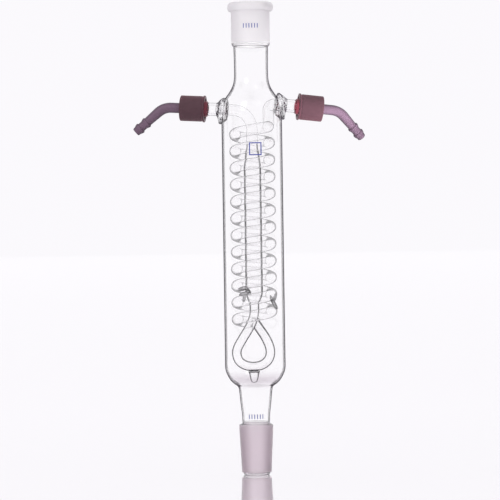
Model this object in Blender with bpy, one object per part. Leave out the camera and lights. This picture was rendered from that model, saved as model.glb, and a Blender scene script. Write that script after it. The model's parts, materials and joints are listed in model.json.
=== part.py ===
"""Coil reflux condenser: a glass jacket between a ground socket and a ground cone, a hollow cooling coil
inside it, and two threaded side arms, each with a screw cap, a sealing ring and a bent hose barb.

Metres, +Z up. The origin is the centre of the cone's lower end, with the left side arm towards -X.
Blender 4.5: run it with blender --background --python part.py, or from the text editor.
"""

import math

import bmesh
import bpy
from mathutils import Matrix, Vector

MM = 0.001
GAP = 0.3 * MM  # between pieces that touch on the real object
WALL = 1.8 * MM  # glass of the jacket and the necks
LATHE_STEPS = 32
FITTING_STEPS = 20
SHARP_DEG = 35.0  # edges steeper than this stay sharp in shading
MERGE = 1e-7

# Ground joints, 24/29: 24 mm wide at the large end, ground over 29 mm, taper 1 in 10.
JOINT_R = 12.0 * MM
GROUND_LENGTH = 29.0 * MM
JOINT_SMALL_R = JOINT_R - GROUND_LENGTH / 20
CONE_TIP_R = 9.45 * MM
CONE_GROUND_Z = 1.8 * MM
CONE_TOP_Z = 38.0 * MM
CONE_WALL = 2.0 * MM
SOCKET_R = 13.8 * MM
RIM_R = 16.25 * MM
RIM_HEIGHT = 6.0 * MM
SOCKET_Z = 305.5 * MM
OVERALL_Z = 337.0 * MM

# Jacket and necks.
JACKET_R = 21.6 * MM
JACKET_Z = 76.6 * MM
JACKET_TOP_Z = 250.0 * MM
LOWER_NECK_R = 9.8 * MM
UPPER_NECK_R = 12.3 * MM

# Cooling coil, right-handed, with its turns in front rising towards +X.
TUBE_R = 4.0 * MM
TUBE_BORE_R = 3.0 * MM
COIL_R = 12.4 * MM
COIL_PITCH = 12.0 * MM
COIL_LEFT_Z = 110.9 * MM  # the lowest turn, where it passes -X
COIL_START_DEG = 100.0
COIL_END_DEG = 12 * 360.0 - 24.0
COIL_STEPS = 12  # to a turn
RISER_REACH = 12.1 * MM  # of the upright stretch between the coil and the right arm
RISER_LEAD = 3.8 * MM  # from the last turn to the riser's foot
ELBOW_LEAD = 2.0 * MM
RISER_BENDS = (3.6 * MM, 3.4 * MM, 2.0 * MM)
TUBE_SIDES = 7

# Centre tube, lower loop and drip tip.
CENTRE_TUBE_R = 6.15 * MM
CENTRE_WALL = 1.0 * MM
FEED_BEND_R = 14.0 * MM
CENTRE_TOP_Z = 236.5 * MM
CENTRE_BOTTOM_Z = 122.8 * MM
LOOP_TUBE_R = 3.4 * MM
LOOP_BORE_R = 2.4 * MM
LOOP_BOTTOM = Vector((-0.9, 0.0, 77.2)) * MM
LOOP_LEAD = 3.2 * MM  # straight stretch that meets the coil
DRIP_TIP_Z = 65.5 * MM

# Welds between the glass parts: where each lies, and its extent outwards, sideways and upwards.
BRACES = {
    "left_brace": {"azimuth_deg": 215.0, "radius": 8.0 * MM, "height": 131.2 * MM,
                   "size": (2.9 * MM, 7.0 * MM, 5.6 * MM)},
    "right_brace": {"azimuth_deg": -26.0, "radius": COIL_R, "height": 122.1 * MM,
                    "size": (3.4 * MM, 7.0 * MM, 3.3 * MM)},
}

# Side arms. Distances along an arm are counted outwards from the condenser's axis.
ARM_SWEEP_DEG = 7.0  # both arms lean towards +Y
ARM_REACH = 30.0 * MM  # where an arm's height is given
ARMS = {
    "left": {"side": -1, "height": 261.7 * MM, "rise_deg": 3.3, "swivel_deg": 0.0},
    "right": {"side": 1, "height": 263.0 * MM, "rise_deg": -6.3, "swivel_deg": 25.0},
}
ARM_TUBE_R = 4.65 * MM
ARM_BORE_R = 3.1 * MM
SEAL_IN = 17.6 * MM
SEAL_OUT = 25.2 * MM
SEAL_R = 8.8 * MM
HOLE_DEPTH = 20.0 * MM  # of the cutter that makes room for a ring seal
ARM_MOUTH = 46.2 * MM
ARM_MOUTH_BORE_R = 4.6 * MM

# Screw thread GL 14: 14 mm over the crests, pitch 2.5 mm.
THREAD_CREST_R = 6.95 * MM
THREAD_CORE_R = 6.1 * MM
THREAD_PITCH = 2.5 * MM
RIDGE_BASE = 1.5 * MM
RIDGE_TOP = 0.6 * MM
THREAD_STEPS = 14  # to a turn
GLASS_THREAD = (35.4 * MM, 44.4 * MM)
CAP_THREAD = (36.65 * MM, 44.2 * MM)

# Screw cap, sealing ring and hose barb.
CAP_MOUTH = 33.4 * MM
CAP_END = 51.2 * MM
CAP_R = 9.15 * MM
CAP_LIP_R = 9.6 * MM
CAP_INNER_R = 7.3 * MM
CAP_CREST_R = 6.5 * MM
CAP_END_WALL = 1.4 * MM
CAP_OPENING_R = 4.0 * MM
RING_R = 6.4 * MM
RING_BORE_R = 4.3 * MM
RING_THICKNESS = 1.5 * MM
BARB_R = 3.65 * MM
BARB_BORE_R = 1.9 * MM
BARB_SPIGOT_R = 3.9 * MM
BARB_SPIGOT_START = 43.6 * MM
BARB_FLANGE_R = 6.0 * MM
BARB_FLANGE_THICKNESS = 1.2 * MM
BARB_STRAIGHT = 7.0 * MM  # from the cap to the bend
BARB_BEND_R = 13.0 * MM
BARB_BEND_DEG = 43.5
BARB_BEND_STEPS = 6
BARB_TAIL = 21.8 * MM
BARB_RIDGES = (11.3 * MM, 17.5 * MM)  # from the bend's end
BARB_RIDGE_R = 4.0 * MM
BARB_TIP_R = 3.1 * MM

MATERIALS = {
    "clear_glass": {"colour": (0.93, 0.95, 0.96), "roughness": 0.03, "alpha": 0.35},
    "ground_glass": {"colour": (0.80, 0.78, 0.82), "roughness": 0.55, "alpha": 0.75},
    "cap_plastic": {"colour": (0.13, 0.035, 0.045), "roughness": 0.35, "alpha": 1.0},
    "barb_plastic": {"colour": (0.20, 0.13, 0.17), "roughness": 0.40, "alpha": 1.0},
    "ring_silicone": {"colour": (0.75, 0.74, 0.70), "roughness": 0.60, "alpha": 1.0},
}


def clear_scene():
    for obj in list(bpy.data.objects):
        bpy.data.objects.remove(obj, do_unlink=True)


def material(name):
    """The material of that name, made on first use."""
    found = bpy.data.materials.get(name)
    if found:
        return found
    look = MATERIALS[name]
    made = bpy.data.materials.new(name)
    made.use_nodes = True
    shader = made.node_tree.nodes["Principled BSDF"]
    shader.inputs["Base Color"].default_value = (*look["colour"], 1.0)
    shader.inputs["Roughness"].default_value = look["roughness"]
    shader.inputs["Metallic"].default_value = 0.0
    shader.inputs["Alpha"].default_value = look["alpha"]
    made.diffuse_color = (*look["colour"], look["alpha"])
    return made


def add_object(name, bm, material_name, parent=None):
    """An object from a closed bmesh, shaded smooth between its sharp edges, at its parent's origin."""
    bmesh.ops.recalc_face_normals(bm, faces=bm.faces)
    mesh = bpy.data.meshes.new(name)
    bm.to_mesh(mesh)
    bm.free()
    mesh.shade_smooth()
    mesh.set_sharp_from_angle(angle=math.radians(SHARP_DEG))
    obj = bpy.data.objects.new(name, mesh)
    bpy.context.scene.collection.objects.link(obj)
    obj.data.materials.append(material(material_name))
    obj.parent = parent
    return obj


def lathe(outline, steps):
    """A closed outline of (radius, height) points turned about Z."""
    bm = bmesh.new()
    points = [bm.verts.new((radius, 0.0, height)) for radius, height in outline]
    edges = [bm.edges.new(pair) for pair in zip(points, points[1:] + points[:1])]
    bmesh.ops.spin(
        bm,
        geom=points + edges,
        cent=(0, 0, 0),
        axis=(0, 0, 1),
        angle=2 * math.pi,
        steps=steps,
        use_merge=True,
    )
    bmesh.ops.remove_doubles(bm, verts=bm.verts, dist=MERGE)
    bmesh.ops.dissolve_degenerate(bm, edges=bm.edges, dist=MERGE)
    return bm


def shell_outline(outer, wall):
    """The closed outline of a wall of even thickness inside an outer line of (radius, height) points."""
    inner = []
    for i, here in enumerate(outer):
        before = Vector(outer[max(i - 1, 0)])
        after = Vector(outer[min(i + 1, len(outer) - 1)])
        run = (after - before).normalized()
        at_end = i in (0, len(outer) - 1)
        shift = Vector((-wall, 0)) if at_end else wall * Vector((-run.y, run.x))
        inner.append(tuple(Vector(here) + shift))
    return list(outer) + inner[::-1]


def smooth_path(points, per_span):
    """A Catmull-Rom curve through the points, with per_span steps between two of them."""
    path = []
    for i in range(len(points) - 1):
        a = points[max(i - 1, 0)]
        b, c = points[i], points[i + 1]
        d = points[min(i + 2, len(points) - 1)]
        for step in range(per_span):
            t = step / per_span
            path.append(
                0.5 * (2 * b + (c - a) * t + (2 * a - 5 * b + 4 * c - d) * t**2
                       + (3 * b - a - 3 * c + d) * t**3)
            )
    return path + [points[-1]]


def rounded_path(points, radii, step_deg=15.0):
    """Straight runs between the points, with each inner corner rounded to its radius."""
    path = [points[0]]
    for before, corner, after, radius in zip(points, points[1:], points[2:], radii):
        into, out = (corner - before).normalized(), (after - corner).normalized()
        turn = into.angle(out)
        cut = radius * math.tan(turn / 2)
        axis = into.cross(out).normalized()
        start = corner - into * cut
        centre = start + axis.cross(into) * radius
        steps = max(1, round(math.degrees(turn) / step_deg))
        for step in range(steps + 1):
            spin = Matrix.Rotation(turn * step / steps, 3, axis)
            path.append(centre + spin @ (start - centre))
    return path + [points[-1]]


def frames_along(path):
    """A (point, side, up) for each point of a path, turned as little as possible on the way."""
    frames = []
    up = None
    for i, point in enumerate(path):
        ahead = (path[min(i + 1, len(path) - 1)] - path[max(i - 1, 0)]).normalized()
        if up is None:
            up = ahead.orthogonal().normalized()
        up = (up - ahead * up.dot(ahead)).normalized()
        frames.append((point, ahead.cross(up), up))
    return frames


def tube(path, outer, bore, sides):
    """A tube with open ends along a path: outer and bore give the radii at each of its points."""
    bm = bmesh.new()
    angles = [2 * math.pi * k / sides for k in range(sides)]
    skins = []
    for radii in (outer, bore):
        rings = []
        for (point, side, up), radius in zip(frames_along(path), radii):
            rings.append(
                [bm.verts.new(point + radius * (math.cos(a) * side + math.sin(a) * up)) for a in angles]
            )
        for one, two in zip(rings, rings[1:]):
            for k in range(sides):
                nxt = (k + 1) % sides
                bm.faces.new((one[k], one[nxt], two[nxt], two[k]))
        skins.append(rings)
    for end in (0, -1):
        out, inn = skins[0][end], skins[1][end]
        for k in range(sides):
            nxt = (k + 1) % sides
            bm.faces.new((out[k], out[nxt], inn[nxt], inn[k]))
    return bm


def even_tube(path, radius, bore_radius, sides=TUBE_SIDES):
    return tube(path, [radius] * len(path), [bore_radius] * len(path), sides)


def thread_ridge(span, root_r, crest_r, phase_deg):
    """A right-handed helical ridge between two distances along Z. It narrows from root to crest."""
    bm = bmesh.new()
    start, end = span
    turns = (end - start) / THREAD_PITCH
    steps = round(turns * THREAD_STEPS)
    rings = []
    for i in range(steps + 1):
        turned = turns * i / steps
        angle = 2 * math.pi * turned + math.radians(phase_deg)
        out = Vector((math.cos(angle), math.sin(angle), 0))
        height = start + THREAD_PITCH * turned
        ring = []
        for radius, offset in (
            (root_r, -RIDGE_BASE / 2),
            (crest_r, -RIDGE_TOP / 2),
            (crest_r, RIDGE_TOP / 2),
            (root_r, RIDGE_BASE / 2),
        ):
            ring.append(bm.verts.new(out * radius + Vector((0, 0, height + offset))))
        rings.append(ring)
    for one, two in zip(rings, rings[1:]):
        for k in range(4):
            nxt = (k + 1) % 4
            bm.faces.new((one[k], one[nxt], two[nxt], two[k]))
    bm.faces.new(rings[0])
    bm.faces.new(rings[-1])
    return bm


def combine(obj, helper, operation):
    """Joins a helper to an object or cuts it away, and keeps the helper out of renders."""
    helper.hide_render = True
    helper.display_type = "WIRE"
    modifier = obj.modifiers.new(operation.title(), "BOOLEAN")
    modifier.operation = operation
    modifier.solver = "EXACT"
    modifier.object = helper


def arm_frame(arm):
    """The matrix of an arm: local Z runs outwards along it from the condenser's axis, local X is upwards."""
    rise = math.radians(arm["rise_deg"])
    sweep = math.radians(ARM_SWEEP_DEG)
    level = Vector((arm["side"] * math.cos(sweep), math.sin(sweep), 0))
    out = level * math.cos(rise) + Vector((0, 0, math.sin(rise)))
    up = Vector((0, 0, 1))
    up = (up - out * up.dot(out)).normalized()
    side = out.cross(up)
    origin = level * ARM_REACH + Vector((0, 0, arm["height"])) - out * ARM_REACH
    turn = Matrix((up, side, out)).transposed()
    return Matrix.Translation(origin) @ turn.to_4x4()


def arm_empty(name, arm):
    """An empty on the arm's axis, which the arm's pieces hang from."""
    empty = bpy.data.objects.new(f"{name}_arm_axis", None)
    bpy.context.scene.collection.objects.link(empty)
    empty.matrix_world = arm_frame(arm)
    return empty


def socket_joint():
    ground_end = OVERALL_Z - GROUND_LENGTH
    rim_z = OVERALL_Z - RIM_HEIGHT
    outline = [
        (UPPER_NECK_R + 0.1 * MM, SOCKET_Z),
        (SOCKET_R - 0.5 * MM, SOCKET_Z + 0.8 * MM),
        (SOCKET_R, SOCKET_Z + 2.0 * MM),
        (SOCKET_R, rim_z - 0.4 * MM),
        (RIM_R - 1.2 * MM, rim_z),
        (RIM_R, rim_z + 1.4 * MM),
        (RIM_R, OVERALL_Z - 1.4 * MM),
        (RIM_R - 1.1 * MM, OVERALL_Z),
        (JOINT_R + 0.4 * MM, OVERALL_Z),
        (JOINT_R, OVERALL_Z - 0.5 * MM),
        (JOINT_SMALL_R, ground_end),
        (UPPER_NECK_R - WALL, SOCKET_Z),
    ]
    add_object("socket_joint", lathe(outline, LATHE_STEPS), "ground_glass")


def upper_neck(arms):
    """Shoulder and neck above the jacket, with a hole for each ring seal."""
    outer = [
        (JACKET_R, JACKET_TOP_Z + GAP),
        (JACKET_R, 257.0 * MM),
        (21.1 * MM, 261.5 * MM),
        (20.2 * MM, 265.8 * MM),
        (18.4 * MM, 269.6 * MM),
        (16.1 * MM, 272.8 * MM),
        (13.8 * MM, 276.8 * MM),
        (12.5 * MM, 281.0 * MM),
        (UPPER_NECK_R - 0.2 * MM, 286.0 * MM),
        (UPPER_NECK_R, SOCKET_Z - GAP),
    ]
    neck = add_object("upper_neck", lathe(shell_outline(outer, WALL), LATHE_STEPS), "clear_glass")
    for name, empty in arms.items():
        hole = bmesh.new()
        bmesh.ops.create_cone(
            hole,
            cap_ends=True,
            segments=24,
            radius1=SEAL_R + GAP,
            radius2=SEAL_R + GAP,
            depth=HOLE_DEPTH,
            matrix=Matrix.Translation((0, 0, (SEAL_IN + SEAL_OUT) / 2)),
        )
        cutter = add_object(f"{name}_seal_hole", hole, "clear_glass", empty)
        combine(neck, cutter, "DIFFERENCE")


def jacket():
    outer = [(JACKET_R, JACKET_Z + GAP), (JACKET_R, JACKET_TOP_Z)]
    add_object("jacket", lathe(shell_outline(outer, WALL), LATHE_STEPS), "clear_glass")


def lower_neck():
    """The bowl that closes the jacket, and the neck that leads to the cone."""
    outer = [
        (LOWER_NECK_R, CONE_TOP_Z + GAP),
        (LOWER_NECK_R + 0.2 * MM, 43.0 * MM),
        (10.9 * MM, 51.0 * MM),
        (11.8 * MM, 60.0 * MM),
        (12.6 * MM, 63.0 * MM),
        (15.2 * MM, 65.0 * MM),
        (17.8 * MM, 67.6 * MM),
        (19.7 * MM, 70.8 * MM),
        (21.0 * MM, 73.8 * MM),
        (JACKET_R, JACKET_Z),
    ]
    add_object("lower_neck", lathe(shell_outline(outer, WALL), LATHE_STEPS), "clear_glass")


def cone_joint():
    ground_top = CONE_GROUND_Z + GROUND_LENGTH
    outline = [
        (CONE_TIP_R - 0.4 * MM, 0),
        (CONE_TIP_R, 0.5 * MM),
        (CONE_TIP_R, CONE_GROUND_Z - 0.2 * MM),
        (JOINT_SMALL_R, CONE_GROUND_Z),
        (JOINT_R, ground_top),
        (JOINT_R, ground_top + 3.4 * MM),
        (JOINT_R - 1.0 * MM, ground_top + 4.6 * MM),
        (LOWER_NECK_R + 0.1 * MM, CONE_TOP_Z - 1.2 * MM),
        (LOWER_NECK_R, CONE_TOP_Z),
        (LOWER_NECK_R - WALL, CONE_TOP_Z),
        (LOWER_NECK_R - WALL, CONE_TOP_Z - 1.6 * MM),
        (JOINT_R - CONE_WALL, ground_top + 2.4 * MM),
        (JOINT_R - CONE_WALL, ground_top),
        (JOINT_SMALL_R - CONE_WALL, CONE_GROUND_Z + 1.0 * MM),
        (CONE_TIP_R - 1.6 * MM, 0),
    ]
    add_object("cone_joint", lathe(outline, LATHE_STEPS), "ground_glass")


def coil_point(degrees):
    angle = math.radians(degrees)
    height = COIL_LEFT_Z + COIL_PITCH * (degrees - 180.0) / 360.0
    return Vector((COIL_R * math.cos(angle), COIL_R * math.sin(angle), height))


def coil(right_arm):
    """The helix, and the short riser with its elbow that takes the coil's top end to the right arm."""
    steps = round((COIL_END_DEG - COIL_START_DEG) / 360 * COIL_STEPS)
    span = COIL_END_DEG - COIL_START_DEG
    path = [coil_point(COIL_START_DEG + span * i / steps) for i in range(steps + 1)]
    foot = path[-1] + (path[-1] - path[-2]).normalized() * RISER_LEAD
    arm_end = right_arm @ Vector((0, 0, SEAL_IN - GAP))
    near_end = right_arm @ Vector((0, 0, SEAL_IN - ELBOW_LEAD))
    foot.xy = foot.xy.normalized() * RISER_REACH
    head = Vector((foot.x, foot.y, arm_end.z - ELBOW_LEAD))
    route = [path[-1], foot, head, near_end, arm_end]
    path += rounded_path(route, RISER_BENDS, 24.0)[1:]
    add_object("coil", even_tube(path, TUBE_R, TUBE_BORE_R), "clear_glass")


def feed_tube(left_arm):
    """From the left arm's ring seal inwards, then down onto the condenser's axis."""
    start = left_arm @ Vector((0, 0, SEAL_IN - GAP))
    corner = left_arm @ Vector((0, 0, 0))
    end = Vector((0, 0, CENTRE_TOP_Z + GAP))
    path = rounded_path([start, corner, end], (FEED_BEND_R,), 12.0)
    add_object("feed_tube", even_tube(path, TUBE_R, TUBE_BORE_R, 10), "clear_glass")


def centre_tube():
    shape = (
        (CENTRE_TOP_Z, TUBE_R),
        (229.0 * MM, 4.9 * MM),
        (220.0 * MM, CENTRE_TUBE_R),
        (132.0 * MM, CENTRE_TUBE_R),
        (127.5 * MM, 5.5 * MM),
        (CENTRE_BOTTOM_Z, TUBE_R),
    )
    outer = [(radius, height) for height, radius in reversed(shape)]
    add_object("centre_tube", lathe(shell_outline(outer, CENTRE_WALL), 16), "clear_glass")


def lower_loop():
    """The teardrop: down in front to the left, round the bottom, and up behind to the coil's start."""
    bottom = LOOP_BOTTOM / MM
    points = [Vector(p) * MM for p in (
        (0.0, 0.0, CENTRE_BOTTOM_Z / MM - 0.3),
        (-0.2, -0.2, 116.5),
        (-1.2, -1.2, 110.8),
        (-3.8, -2.3, 105.2),
        (-8.3, -3.0, 98.0),
        (-12.0, -2.6, 91.6),
        (-13.1, -1.6, 86.6),
        (-11.4, -0.8, 81.4),
        (-6.9, -0.2, 78.2),
        tuple(bottom),
        (5.0, 0.4, 78.4),
        (9.3, 0.9, 81.8),
        (10.9, 1.6, 86.6),
        (10.2, 2.8, 91.8),
        (7.4, 5.2, 98.0),
        (3.4, 9.6, 104.0),
    )]
    last = coil_point(COIL_START_DEG)
    ahead = (coil_point(COIL_START_DEG + 360 / COIL_STEPS) - last).normalized()
    points.append(last - ahead * LOOP_LEAD)
    path = smooth_path(points, 2) + [last - ahead * GAP]
    add_object("lower_loop", even_tube(path, LOOP_TUBE_R, LOOP_BORE_R), "clear_glass")


def drip_tip():
    """A solid glass finger under the loop, where condensate gathers and falls."""
    top = LOOP_BOTTOM.z - LOOP_TUBE_R - GAP
    outline = [
        (0, top),
        (4.3 * MM, top),
        (3.7 * MM, top - 1.6 * MM),
        (2.6 * MM, DRIP_TIP_Z + 2.4 * MM),
        (1.9 * MM, DRIP_TIP_Z + 0.7 * MM),
        (0, DRIP_TIP_Z),
    ]
    tip = add_object("drip_tip", lathe(outline, 14), "clear_glass")
    tip.location = (LOOP_BOTTOM.x, LOOP_BOTTOM.y, 0)


def brace(name, weld):
    """A weld of glass, as a flattened ball."""
    bm = bmesh.new()
    turn = Matrix.Rotation(math.radians(weld["azimuth_deg"]), 4, "Z")
    place = turn @ Matrix.Translation((weld["radius"], 0, weld["height"]))
    stretch = Matrix.Diagonal((*weld["size"], 1.0))
    bmesh.ops.create_uvsphere(bm, u_segments=12, v_segments=8, radius=0.5, matrix=place @ stretch)
    add_object(name, bm, "clear_glass")


def ring_seal(name, empty):
    """The lump of fused glass where an arm passes the shoulder's wall."""
    outline = [
        (ARM_BORE_R, SEAL_IN),
        (SEAL_R - 1.4 * MM, SEAL_IN),
        (SEAL_R - 0.1 * MM, SEAL_IN + 1.2 * MM),
        (SEAL_R, SEAL_IN + 3.9 * MM),
        (SEAL_R - 1.5 * MM, SEAL_OUT - 1.8 * MM),
        (ARM_TUBE_R + 0.8 * MM, SEAL_OUT - 0.5 * MM),
        (ARM_TUBE_R + 0.4 * MM, SEAL_OUT),
        (ARM_BORE_R, SEAL_OUT),
    ]
    add_object(f"{name}_ring_seal", lathe(outline, 24), "clear_glass", empty)


def side_arm(name, empty):
    """The glass tube that widens into a threaded mouth."""
    outline = [
        (ARM_TUBE_R, SEAL_OUT + GAP),
        (ARM_TUBE_R, 32.0 * MM),
        (THREAD_CORE_R, 34.4 * MM),
        (THREAD_CORE_R, ARM_MOUTH - 0.5 * MM),
        (THREAD_CORE_R - 0.5 * MM, ARM_MOUTH),
        (ARM_MOUTH_BORE_R, ARM_MOUTH),
        (ARM_MOUTH_BORE_R, 36.0 * MM),
        (ARM_BORE_R, 33.4 * MM),
        (ARM_BORE_R, SEAL_OUT + GAP),
    ]
    arm = add_object(f"{name}_side_arm", lathe(outline, FITTING_STEPS), "clear_glass", empty)
    ridge = thread_ridge(GLASS_THREAD, THREAD_CORE_R - 0.3 * MM, THREAD_CREST_R, 0)
    combine(arm, add_object(f"{name}_arm_ridge", ridge, "clear_glass", empty), "UNION")


def screw_cap(name, empty):
    """Open at both ends: the mouth screws over the arm, and the end wall lets the barb through."""
    outline = [
        (CAP_INNER_R + 0.3 * MM, CAP_MOUTH),
        (CAP_LIP_R - 0.2 * MM, CAP_MOUTH),
        (CAP_LIP_R, CAP_MOUTH + 0.3 * MM),
        (CAP_LIP_R, CAP_MOUTH + 1.4 * MM),
        (CAP_R, CAP_MOUTH + 2.0 * MM),
        (CAP_R, CAP_END - 0.6 * MM),
        (CAP_R - 0.6 * MM, CAP_END),
        (CAP_OPENING_R, CAP_END),
        (CAP_OPENING_R, CAP_END - CAP_END_WALL),
        (CAP_INNER_R, CAP_END - CAP_END_WALL),
        (CAP_INNER_R, CAP_MOUTH + 0.4 * MM),
    ]
    cap = add_object(f"{name}_screw_cap", lathe(outline, FITTING_STEPS), "cap_plastic", empty)
    # Half a pitch on from the arm's ridge at the same angle, so that each runs in the other's groove.
    on = CAP_THREAD[0] - GLASS_THREAD[0] - THREAD_PITCH / 2
    ridge = thread_ridge(CAP_THREAD, CAP_INNER_R + 0.3 * MM, CAP_CREST_R, 360 * on / THREAD_PITCH)
    combine(cap, add_object(f"{name}_cap_ridge", ridge, "cap_plastic", empty), "UNION")


def sealing_ring(name, empty):
    low = ARM_MOUTH + GAP
    high = low + RING_THICKNESS
    outline = [(RING_BORE_R, low), (RING_R, low), (RING_R, high), (RING_BORE_R, high)]
    add_object(f"{name}_sealing_ring", lathe(outline, FITTING_STEPS), "ring_silicone", empty)


def barb_shape():
    """The barb's outer radius at distances along its centre line, counted from the condenser's axis."""
    flange = ARM_MOUTH + GAP + RING_THICKNESS + GAP
    flange_top = flange + BARB_FLANGE_THICKNESS
    bend = CAP_END + BARB_STRAIGHT
    bend_end = bend + BARB_BEND_R * math.radians(BARB_BEND_DEG)
    shape = [
        (BARB_SPIGOT_START, BARB_SPIGOT_R - 0.3 * MM),
        (BARB_SPIGOT_START + 0.4 * MM, BARB_SPIGOT_R),
        (flange - 0.1 * MM, BARB_SPIGOT_R),
        (flange, BARB_FLANGE_R),
        (flange_top, BARB_FLANGE_R),
        (flange_top + 0.1 * MM, BARB_R),
    ]
    for i in range(BARB_BEND_STEPS + 1):
        shape.append((bend + (bend_end - bend) * i / BARB_BEND_STEPS, BARB_R))
    for ridge in BARB_RIDGES:
        shape.append((bend_end + ridge - 0.8 * MM, BARB_TIP_R))
        shape.append((bend_end + ridge - 0.1 * MM, BARB_RIDGE_R))
        shape.append((bend_end + ridge + 0.5 * MM, BARB_RIDGE_R))
    shape.append((bend_end + BARB_TAIL - 0.3 * MM, BARB_TIP_R))
    shape.append((bend_end + BARB_TAIL, BARB_TIP_R - 0.2 * MM))
    return shape, bend, bend_end


def hose_barb(name, empty, swivel_deg):
    """Built in the arm's frame: out along local Z, then bent towards -X, which is downwards."""
    shape, bend, bend_end = barb_shape()
    turn = math.radians(BARB_BEND_DEG)
    path = []
    for distance, _ in shape:
        angle = min(max((distance - bend) / BARB_BEND_R, 0), turn)
        tail = max(distance - bend_end, 0)
        drop = BARB_BEND_R * (1 - math.cos(angle)) + tail * math.sin(turn)
        reach = min(distance, bend) + BARB_BEND_R * math.sin(angle) + tail * math.cos(turn)
        path.append(Vector((-drop, 0, reach)))
    radii = [radius for _, radius in shape]
    bm = tube(path, radii, [BARB_BORE_R] * len(path), 12)
    barb = add_object(f"{name}_hose_barb", bm, "barb_plastic", empty)
    barb.rotation_euler.z = math.radians(swivel_deg)


def main():
    clear_scene()
    arms = {name: arm_empty(name, arm) for name, arm in ARMS.items()}
    socket_joint()
    upper_neck(arms)
    jacket()
    lower_neck()
    cone_joint()
    feed_tube(arm_frame(ARMS["left"]))
    centre_tube()
    lower_loop()
    drip_tip()
    coil(arm_frame(ARMS["right"]))
    for name, weld in BRACES.items():
        brace(name, weld)
    for name, empty in arms.items():
        ring_seal(name, empty)
        side_arm(name, empty)
        screw_cap(name, empty)
        sealing_ring(name, empty)
        hose_barb(name, empty, ARMS[name]["swivel_deg"])


main()
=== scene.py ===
"""Looks of the coil reflux condenser: every glass part, cap, ring and hose barb, with its studio.

Metres, +Z up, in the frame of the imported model. The left side arm points towards -X.
"""

import json
import math

import bmesh
import bpy
from bpy.props import FloatProperty, FloatVectorProperty, IntProperty, PointerProperty
from mathutils import Matrix, Vector


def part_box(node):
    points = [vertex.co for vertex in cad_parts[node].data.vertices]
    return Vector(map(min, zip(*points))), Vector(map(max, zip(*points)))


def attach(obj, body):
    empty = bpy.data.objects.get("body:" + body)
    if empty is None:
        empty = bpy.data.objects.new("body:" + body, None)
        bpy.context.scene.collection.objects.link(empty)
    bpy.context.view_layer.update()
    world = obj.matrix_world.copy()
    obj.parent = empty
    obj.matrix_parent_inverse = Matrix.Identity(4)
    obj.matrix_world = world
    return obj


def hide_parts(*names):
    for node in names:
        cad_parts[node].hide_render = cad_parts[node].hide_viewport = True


bl_info = {
    "name": "Coil reflux condenser",
    "version": (1, 0, 0),
    "blender": (4, 5, 0),
    "location": "3D View > Sidebar > Condenser",
    "description": "Makes the pieces of a coil reflux condenser and its studio",
    "category": "Object",
}

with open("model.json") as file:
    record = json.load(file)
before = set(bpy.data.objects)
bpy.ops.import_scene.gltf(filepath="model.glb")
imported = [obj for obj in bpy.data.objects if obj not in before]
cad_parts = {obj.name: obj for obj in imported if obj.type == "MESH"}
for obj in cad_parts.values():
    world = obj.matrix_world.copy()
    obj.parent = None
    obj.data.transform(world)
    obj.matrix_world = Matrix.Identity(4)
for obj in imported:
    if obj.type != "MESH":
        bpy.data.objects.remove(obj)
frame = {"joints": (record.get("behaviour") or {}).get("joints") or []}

MM = 0.001
WELD_GAP = 0.02 * MM  # between glass parts that are fused on the real condenser
MERGE = 1e-7
GLASS_BOUNCES, GLOSSY_BOUNCES = 40, 12
SHARP_ANGLE = math.radians(50)
BARB_SHARP_ANGLE = math.radians(55)
JACKET_STEPS, JOINT_STEPS, FITTING_STEPS, TUBE_STEPS = 128, 96, 72, 48  # round each turned shape

# Heights and radii of the envelope, from the frame.
JACKET_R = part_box("jacket")[1].x
SOCKET_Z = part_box("socket_joint")[0].z
OVERALL_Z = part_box("socket_joint")[1].z
RIM_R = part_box("socket_joint")[1].x
CONE_TOP_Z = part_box("cone_joint")[1].z

# Ground joints, 24/29.
JOINT_R = 12.0 * MM
GROUND_LENGTH = 29.0 * MM
JOINT_SMALL_R = JOINT_R - GROUND_LENGTH / 20
CONE_GROUND_Z = 1.8 * MM
CONE_TIP_R = 9.45 * MM
CONE_WALL = 2.0 * MM
SOCKET_R = 13.8 * MM
RIM_HEIGHT = 6.0 * MM
LOWER_NECK_R = 9.8 * MM
UPPER_NECK_R = 12.3 * MM
NECK_LIMIT = 16.0 * MM  # the jacket is a neck where its radius is less
SLIM_OUTLINE = 0.05  # how much further in a neck's painted outline shade starts
BOWL_Z, BOWL_HALF = 67.5 * MM, 6.0 * MM  # a band of painted shade round the bowl, where the jacket flares out

# Cooling coil and the tubes that feed it.
COIL_PITCH = 12.0 * MM
COIL_LEFT_Z = 110.9 * MM
COIL_START_DEG = 100.0
COIL_END_DEG = 12 * 360.0 - 24.0
RISER_REACH = 12.1 * MM
RISER_LEAD = 3.8 * MM
ELBOW_LEAD = 2.0 * MM
RISER_BENDS = (3.6 * MM, 3.4 * MM, 2.0 * MM)
FEED_BEND_R = 14.0 * MM
CENTRE_TOP_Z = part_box("centre_tube")[1].z
CENTRE_BOTTOM_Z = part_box("centre_tube")[0].z
CENTRE_WALL = 0.6 * MM
LOOP_LEAD = 3.2 * MM
LOOP_BOTTOM = Vector((-0.9, 0.0, 77.2)) * MM
DRIP_TIP_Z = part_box("drip_tip")[0].z

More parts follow.
